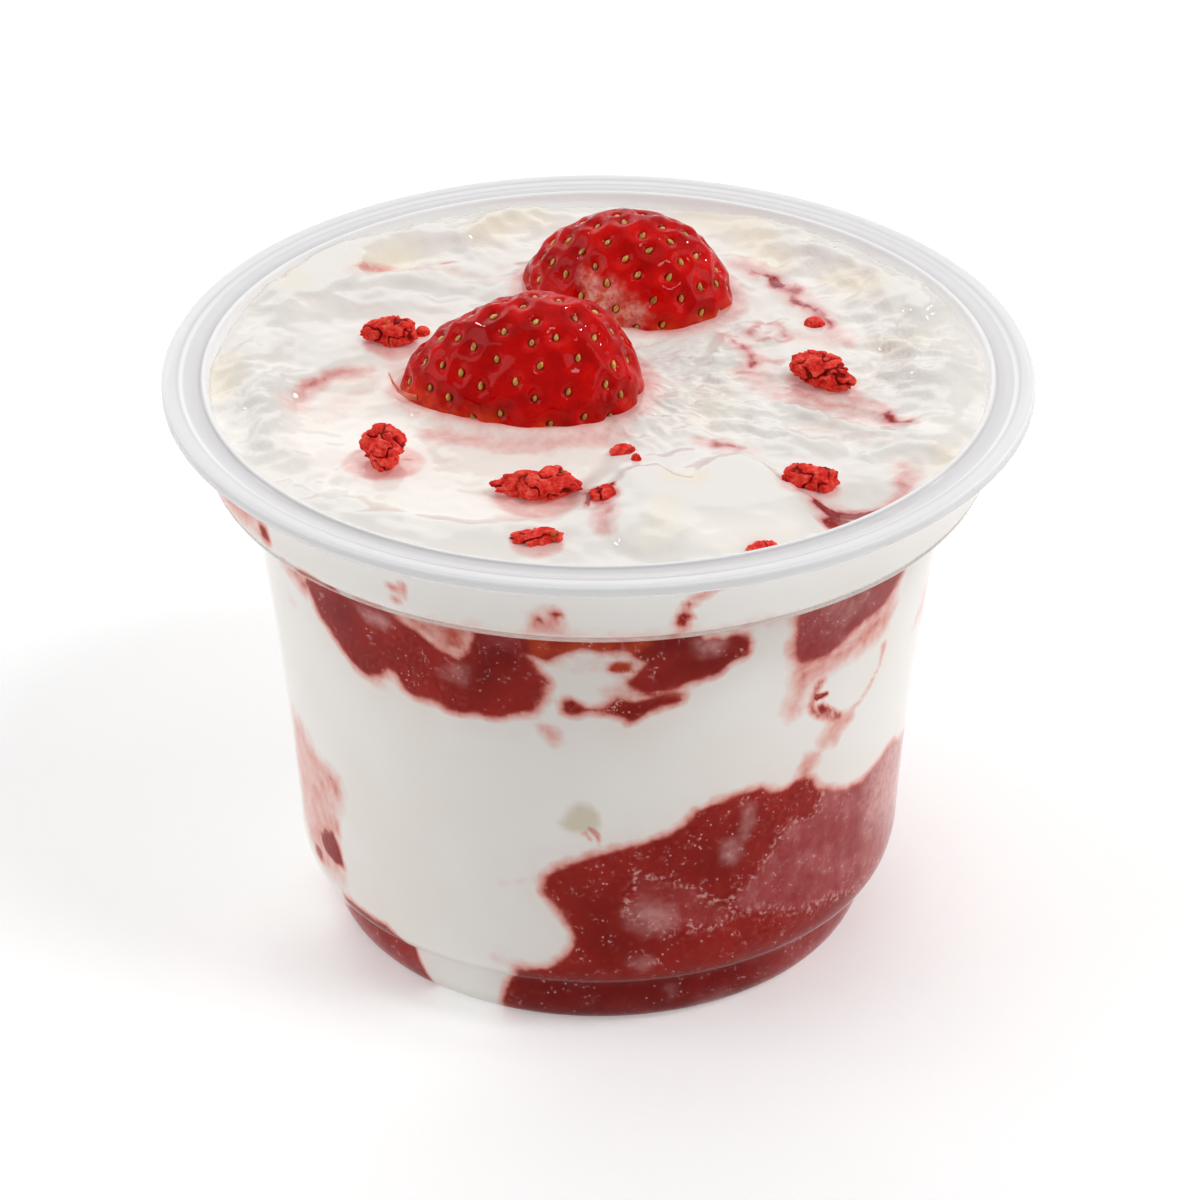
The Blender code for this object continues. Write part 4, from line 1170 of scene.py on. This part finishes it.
class Nodes:
    """Short calls for building one material's nodes."""

    def __init__(self, name):
        self.material = bpy.data.materials.new(name)
        self.material.use_nodes = True
        self.tree = self.material.node_tree
        self.shader = self.tree.nodes["Principled BSDF"]
        self.output = self.tree.nodes["Material Output"]

    def put(self, socket, value):
        if isinstance(value, bpy.types.NodeSocket):
            self.tree.links.new(value, socket)
        elif isinstance(value, tuple) and len(value) == 3 and socket.type == "RGBA":
            socket.default_value = (*value, 1.0)
        else:
            socket.default_value = value

    def add(self, kind, inputs=None, **settings):
        node = self.tree.nodes.new("ShaderNode" + kind)
        for key, value in settings.items():
            setattr(node, key, value)
        for key, value in (inputs or {}).items():
            self.put(node.inputs[key], value)
        return node

    def set(self, **inputs):
        for key, value in inputs.items():
            self.put(self.shader.inputs[key.replace("_", " ")], value)

    def math(self, operation, first, second=0.0, third=0.0, clamp=False):
        node = self.add("Math", {0: first, 1: second}, operation=operation, use_clamp=clamp)
        if operation in ("MULTIPLY_ADD",):
            self.put(node.inputs[2], third)
        return node.outputs[0]

    def value(self, name):
        return self.add("Attribute", attribute_name=name).outputs["Fac"]

    def place(self):
        return self.add("TexCoord").outputs["Object"]

    def noise(self, size, detail=3.0, roughness=0.55, distortion=0.0, where=None):
        """Noise with features about size millimetres across."""
        inputs = {
            "Vector": where or self.place(),
            "Scale": 1.0 / (size * MM),
            "Detail": detail,
            "Roughness": roughness,
            "Distortion": distortion,
        }
        return self.add("TexNoise", inputs).outputs["Fac"]

    def cells(self, size, feature="F1"):
        inputs = {"Vector": self.place(), "Scale": 1.0 / (size * MM)}
        return self.add("TexVoronoi", inputs, feature=feature).outputs["Distance"]

    def ramp(self, fac, stops):
        node = self.add("ValToRGB", {"Fac": fac})
        ramp = node.color_ramp
        while len(ramp.elements) < len(stops):
            ramp.elements.new(0.5)
        for element, (at, colour) in zip(ramp.elements, stops):
            element.position = at
            element.color = (*colour, 1.0)
        return node.outputs["Color"]

    def span(self, value, low, high, to_low=0.0, to_high=1.0, linear=False):
        inputs = {"Value": value, "From Min": low, "From Max": high, "To Min": to_low, "To Max": to_high}
        kind = "LINEAR" if linear else "SMOOTHSTEP"
        return self.add("MapRange", inputs, interpolation_type=kind).outputs["Result"]

    def parts(self):
        """Coordinates in millimetres, one socket for each axis."""
        scaled = self.add("VectorMath", {0: self.place()}, operation="SCALE")
        self.put(scaled.inputs["Scale"], 1.0 / MM)
        return self.add("SeparateXYZ", {0: scaled.outputs[0]}).outputs

    def height(self):
        return self.parts()["Z"]

    def radius(self):
        """Distance from the upright axis in millimetres."""
        x, y, _ = self.parts()
        squares = self.math("ADD", self.math("MULTIPLY", x, x), self.math("MULTIPLY", y, y))
        return self.math("SQRT", squares)

    def mix(self, fac, first, second, blend="MIX"):
        node = self.add("Mix", data_type="RGBA", blend_type=blend)
        self.put(node.inputs[0], fac)
        self.put(node.inputs[6], first)
        self.put(node.inputs[7], second)
        return node.outputs[2]

    def bump(self, height, distance, strength=1.0, normal=None):
        inputs = {"Height": height, "Distance": distance * MM, "Strength": strength}
        if normal is not None:
            inputs["Normal"] = normal
        return self.add("Bump", inputs).outputs["Normal"]


CREAM = (0.89, 0.86, 0.82)
CREAM_WARM = (0.88, 0.84, 0.785)
# Painted light: a lighter cream for the shoulder, standing in for more light up there
CREAM_SHOULDER_PAINTED_LIGHT = (0.97, 0.945, 0.91)
# Painted shade: the top's cream is darker than the wall's, to offset the stronger light on the top
CREAM_TOP_PAINTED_SHADE = (0.83, 0.795, 0.75)
# Painted light: the top's hollows are lighter and warmer, standing in for light scattered inside the cream
CREAM_HOLLOW_PAINTED_GLOW = (0.96, 0.915, 0.85)
CREAM_YELLOW = (0.86, 0.76, 0.58)
HOLLOW_SHADE_BEIGE = (0.70, 0.63, 0.51)
PALE_PINK = (0.74, 0.40, 0.37)
SAUCE_RED = (0.33, 0.014, 0.010)
SAUCE_DARK = (0.17, 0.0035, 0.0025)
SAUCE_BRIGHT = (0.50, 0.050, 0.014)
FROSTED = (0.37, 0.060, 0.060)
FROST_PALE = (0.50, 0.17, 0.17)
# Painted glints, and bubbles, in the sauce
GLINT_AND_BUBBLE = (0.72, 0.40, 0.36)


# Tints over the cream from outside a patch of sauce to its edge
WALL_EDGE = [
    (0.06, (1.0, 1.0, 1.0)),
    (0.22, (0.97, 0.80, 0.78)),
    (0.38, (0.88, 0.46, 0.42)),
    (0.54, (0.68, 0.16, 0.13)),
]
TOP_EDGE = [
    (0.04, (1.0, 1.0, 1.0)),
    (0.20, (0.97, 0.78, 0.77)),
    (0.40, (0.86, 0.42, 0.43)),
    (0.62, (0.64, 0.13, 0.14)),
]
BERRY_SKIN = [(0.32, (0.36, 0.0006, 0.0004)), (0.52, (0.58, 0.0010, 0.0006)), (0.70, (0.76, 0.005, 0.002))]
SEED_TONES = [(0.30, (0.30, 0.09, 0.005)), (0.48, (0.58, 0.26, 0.02)), (0.68, (0.84, 0.52, 0.09))]
DRIED_TONES = [(0.34, (0.60, 0.010, 0.006)), (0.50, (0.88, 0.040, 0.026)), (0.64, (0.97, 0.13, 0.09))]


def ice_cream_material():
    n = Nodes("ice_cream_marbled")
    sauce = n.value("sauce")
    top = n.value("top")
    height = n.height()
    broad = n.noise(4.0, 4.0, 0.6)
    patchy = n.noise(2.0, 4.0, 0.6)
    grit = n.noise(1.2, 3.0, 0.65)
    fine = n.noise(0.6, 2.0, 0.6)
    wander = n.math("SUBTRACT", patchy, 0.5)
    amount = n.math("MULTIPLY_ADD", wander, 0.42, sauce)
    amount = n.math("MULTIPLY", amount, n.span(sauce, 0.02, 0.22), clamp=True)

    cream = n.mix(n.span(n.noise(14.0, 2.0), 0.4, 0.65), CREAM, CREAM_WARM)
    # Painted light: the cream grows lighter up the shoulder, from 57 to 64 mm
    cream = n.mix(n.span(height, 57.0, 64.0), cream, CREAM_SHOULDER_PAINTED_LIGHT)
    # Painted shade: warm beige where an air hollow lies between the cream and the wall
    cream = n.mix(n.value("spot"), cream, HOLLOW_SHADE_BEIGE)
    # Painted shade and light on the top: a darker cream than the wall's, lighter and warmer in its hollows
    surface = n.mix(n.value("hollow"), CREAM_TOP_PAINTED_SHADE, CREAM_HOLLOW_PAINTED_GLOW)
    surface = n.mix(n.math("MULTIPLY", n.value("yellow"), 0.75), surface, CREAM_YELLOW)
    cream = n.mix(top, cream, surface)
    seep = n.math("MULTIPLY", n.value("seep"), n.span(broad, 0.3, 0.7, 0.0, 0.26))
    cream = n.mix(seep, cream, PALE_PINK)

    mottle = n.span(broad, 0.34, 0.66)
    inner = n.mix(mottle, (0.24, 0.007, 0.005), SAUCE_RED)
    pulp = n.span(fine, 0.35, 0.70, 0.0, 0.45)
    inner = n.mix(pulp, inner, (0.42, 0.040, 0.028))
    deep = n.math("MULTIPLY", n.value("dark"), n.span(patchy, 0.25, 0.60, 0.35, 0.9))
    inner = n.mix(deep, inner, SAUCE_DARK)
    broken = n.span(patchy, 0.35, 0.6, 0.1, 0.95)
    orange = n.math("MULTIPLY", n.span(n.value("bright"), 0.3, 0.7), broken)
    inner = n.mix(orange, inner, SAUCE_BRIGHT)
    veil = n.mix(n.span(broad, 0.35, 0.75), FROSTED, FROST_PALE)
    frost = n.math("MULTIPLY", n.value("frost"), n.span(grit, 0.25, 0.7, 0.6, 1.1))
    inner = n.mix(frost, inner, veil)
    pale = n.math("MULTIPLY", n.value("pale"), n.span(grit, 0.3, 0.6, 0.55, 1.1))
    pale = n.math("MINIMUM", pale, 1.0)
    inner = n.mix(pale, inner, PALE_PINK)
    # Painted glints: pale curls and specks in the sauce, joined below by bubbles along the frost's edges
    curls = n.math("ABSOLUTE", n.math("SUBTRACT", n.noise(1.1, 1.5, 0.5, 1.2), 0.5))
    curls = n.math("MULTIPLY", n.span(curls, 0.020, 0.004), n.span(grit, 0.55, 0.60))
    dots = n.math("MULTIPLY", n.span(n.cells(0.8), 0.20, 0.12), n.span(patchy, 0.50, 0.56))
    glints_and_bubbles = n.math("MAXIMUM", curls, dots)
    glints_and_bubbles = n.math("MULTIPLY", glints_and_bubbles, n.span(broad, 0.35, 0.60, 0.15, 0.85))
    beads = n.math("MULTIPLY", n.value("rim"), n.span(fine, 0.50, 0.62, 0.0, 0.75))
    glints_and_bubbles = n.math("MAXIMUM", glints_and_bubbles, beads)
    inner = n.mix(glints_and_bubbles, inner, GLINT_AND_BUBBLE)

    wall_edge = n.ramp(amount, WALL_EDGE)
    top_edge = n.ramp(amount, TOP_EDGE)
    outer = n.mix(1.0, cream, n.mix(top, wall_edge, top_edge), "MULTIPLY")
    colour = n.mix(n.span(amount, 0.40, 0.64), outer, inner)
    n.set(
        Base_Color=colour,
        Roughness=0.45,
        Specular_IOR_Level=0.0,
        Coat_Weight=top,
        Coat_Roughness=0.09,
        Coat_IOR=1.36,
    )
    wet = n.math("MULTIPLY", grit, n.span(n.value("curd"), 0.0, 1.0, 0.25, 1.0))
    n.set(Normal=n.bump(n.math("MULTIPLY", wet, top), 0.22, 0.5))
    return n.material


def cup_material():
    n = Nodes("cup_plastic_clear")
    haze = n.value("haze")
    # The flange's milky tone, with painted highlights and painted shade along its ridges and grooves
    rings = n.ramp(n.span(n.radius(), FLANGE_INSIDE, FLANGE_RADIUS, linear=True), FLANGE_LINES_PAINTED)
    n.set(
        Base_Color=n.mix(haze, (0.985, 0.985, 0.99), rings),
        Roughness=n.span(haze, 0.0, 1.0, 0.015, 0.14),
        IOR=1.18,
        Transmission_Weight=n.math("MULTIPLY_ADD", haze, -0.82, 1.0),
    )
    n.set(Normal=n.bump(n.noise(9.0, 2.0), 0.05, 0.3))
    clear = n.add("BsdfTransparent", {"Color": (0.97, 0.97, 0.975)}).outputs[0]
    shadow = n.add("LightPath").outputs["Is Shadow Ray"]
    mixed = n.add("MixShader", {0: shadow, 1: n.shader.outputs[0], 2: clear}).outputs[0]
    n.put(n.output.inputs["Surface"], mixed)
    return n.material


def berry_material():
    n = Nodes("strawberry_glazed")
    pit = n.value("pit")
    blush = n.noise(3.6, 4.0, 0.6)
    skin = n.ramp(blush, BERRY_SKIN)
    low = n.math("MULTIPLY", n.value("low"), n.span(n.noise(4.0, 3.0), 0.40, 0.62))
    skin = n.mix(low, skin, (0.80, 0.065, 0.010))
    veins = n.span(n.noise(1.0, 5.0, 0.7), 0.36, 0.62)
    flesh = n.mix(veins, (0.70, 0.10, 0.05), (0.88, 0.46, 0.38))
    bare = n.math("MULTIPLY", n.value("flesh"), n.span(n.noise(1.4, 4.0), 0.3, 0.6, 0.35, 1.0))
    skin = n.mix(bare, skin, flesh)
    # Painted shade: dark red in the pits round the seeds
    skin = n.mix(n.span(pit, 0.3, 0.95), skin, (0.10, 0.001, 0.001))
    n.set(
        Base_Color=skin,
        Roughness=0.35,
        Specular_IOR_Level=0.0,
        Coat_Weight=0.85,
        Coat_Roughness=0.05,
        Coat_IOR=1.25,
    )
    n.set(Normal=n.bump(n.noise(1.5, 3.0, 0.5), 0.30, 0.7))
    return n.material


def hair_material():
    n = Nodes("strawberry_hair")
    colour = n.ramp(n.noise(1.2, 3.0), [(0.35, (0.62, 0.045, 0.020)), (0.65, (0.80, 0.16, 0.07))])
    n.set(Base_Color=colour, Roughness=0.3, Coat_Weight=0.8, Coat_Roughness=0.06, Coat_IOR=1.35)
    return n.material


def seed_material():
    n = Nodes("strawberry_seed")
    tone = n.noise(0.7, 2.0)
    colour = n.ramp(tone, SEED_TONES)
    n.set(Base_Color=colour, Roughness=0.3, Coat_Weight=0.8, Coat_Roughness=0.08, Coat_IOR=1.4)
    n.set(Normal=n.bump(n.noise(0.25, 2.0), 0.05, 0.5))
    return n.material


def dried_material():
    n = Nodes("dried_strawberry_rough")
    pit = n.value("pit")
    tone = n.noise(0.9, 4.0, 0.62)
    colour = n.ramp(tone, DRIED_TONES)
    # Painted shade: near-black red in the crags, wrinkles and dents
    colour = n.mix(n.span(pit, 0.25, 0.95), colour, (0.22, 0.003, 0.002))
    golden = n.math("MULTIPLY", n.span(n.cells(2.4), 0.16, 0.12), 0.8)
    colour = n.mix(golden, colour, (0.40, 0.16, 0.015))
    n.set(Base_Color=colour, Roughness=n.span(tone, 0.3, 0.7, 0.45, 0.75), Specular_IOR_Level=0.12)
    n.set(Normal=n.bump(n.noise(0.35, 3.0, 0.6), 0.12, 0.7))
    return n.material


def floor_material():
    n = Nodes("studio_floor")
    n.set(Emission_Color=(1.0, 1.0, 1.0), Emission_Strength=0.13)
    n.set(Base_Color=(0.95, 0.95, 0.95), Roughness=0.9, Specular_IOR_Level=0.0)
    return n.material


def add_floor():
    bpy.ops.mesh.primitive_plane_add(size=8.0, location=(0.0, 0.0, 0.0))
    floor = bpy.context.object
    floor.name = "floor"
    floor.data.materials.append(floor_material())


def add_light(name, place, size, radiance):
    """A rectangular soft light that faces the cup and looks as bright as radiance says, where white is 1."""
    data = bpy.data.lights.new(name, "AREA")
    data.shape = "RECTANGLE"
    data.size, data.size_y = size
    data.energy = radiance * size[0] * size[1] * math.pi
    data.use_shadow = name not in SHADOWLESS
    lamp = bpy.data.objects.new(name, data)
    bpy.context.scene.collection.objects.link(lamp)
    lamp.location = place
    lamp.rotation_euler = (-Vector(place)).to_track_quat("-Z", "Y").to_euler()


def add_world():
    """A soft studio that is dimmer at the front than at the back."""
    world = bpy.data.worlds.new("studio")
    world.use_nodes = True
    nodes = world.node_tree.nodes
    links = world.node_tree.links
    direction = nodes.new("ShaderNodeTexCoord").outputs["Generated"]
    parts = nodes.new("ShaderNodeSeparateXYZ")
    links.new(direction, parts.inputs[0])
    shade = nodes.new("ShaderNodeMapRange")
    shade.interpolation_type = "SMOOTHSTEP"
    values = {"From Min": -0.3, "From Max": 0.6, "To Min": STUDIO_FRONT, "To Max": STUDIO_BACK}
    for name, value in values.items():
        shade.inputs[name].default_value = value
    links.new(parts.outputs["Y"], shade.inputs["Value"])
    links.new(shade.outputs["Result"], nodes["Background"].inputs["Strength"])
    nodes["Background"].inputs["Color"].default_value = (1.0, 1.0, 1.0, 1.0)
    bpy.context.scene.world = world


def add_lights():
    add_world()
    for name, place, size, radiance in LIGHTS:
        add_light(name, place, size, radiance)


def add_camera():
    data = bpy.data.cameras.new("camera")
    data.sensor_fit = "HORIZONTAL"
    data.sensor_width = SENSOR
    data.lens = SENSOR * FOCAL_PIXELS / FRAME_PIXELS
    data.shift_x = (FRAME_PIXELS / 2 - AXIS_PIXEL) / FRAME_PIXELS
    data.clip_start = 0.01
    camera = bpy.data.objects.new("camera", data)
    bpy.context.scene.collection.objects.link(camera)
    tilt = math.radians(CAMERA_ELEVATION)
    back = Vector((0.0, -math.cos(tilt), math.sin(tilt))) * CAMERA_DISTANCE
    camera.location = Vector(CAMERA_TARGET) + back
    camera.rotation_euler = (-back).to_track_quat("-Z", "Y").to_euler()
    bpy.context.scene.camera = camera


def build():
    add_camera()
    add_lights()
    add_floor()
    skin = berry_material()
    seed = seed_material()
    dried = dried_material()

    cup = cup_piece(cup_material())
    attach(cup, BODY)
    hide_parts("cup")

    cream = ice_cream_piece(ice_cream_material())
    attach(cream, BODY)
    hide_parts("ice_cream")

    for name in BERRIES:
        berry, seeds = berry_piece(name, skin, seed)
        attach(berry, BODY)
        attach(seeds, BODY)
        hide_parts(name)

    for number in range(len(PIECES)):
        chunk = dried_piece(number, dried)
        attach(chunk, BODY)
        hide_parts(f"dried_piece_{number + 1}")
    crumbs = crumbs_piece(dried)
    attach(crumbs, BODY)
    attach(hair_piece(hair_material()), BODY)

    scene = bpy.context.scene
    scene.view_settings.view_transform = "Standard"
    scene.view_settings.look = "None"


build()
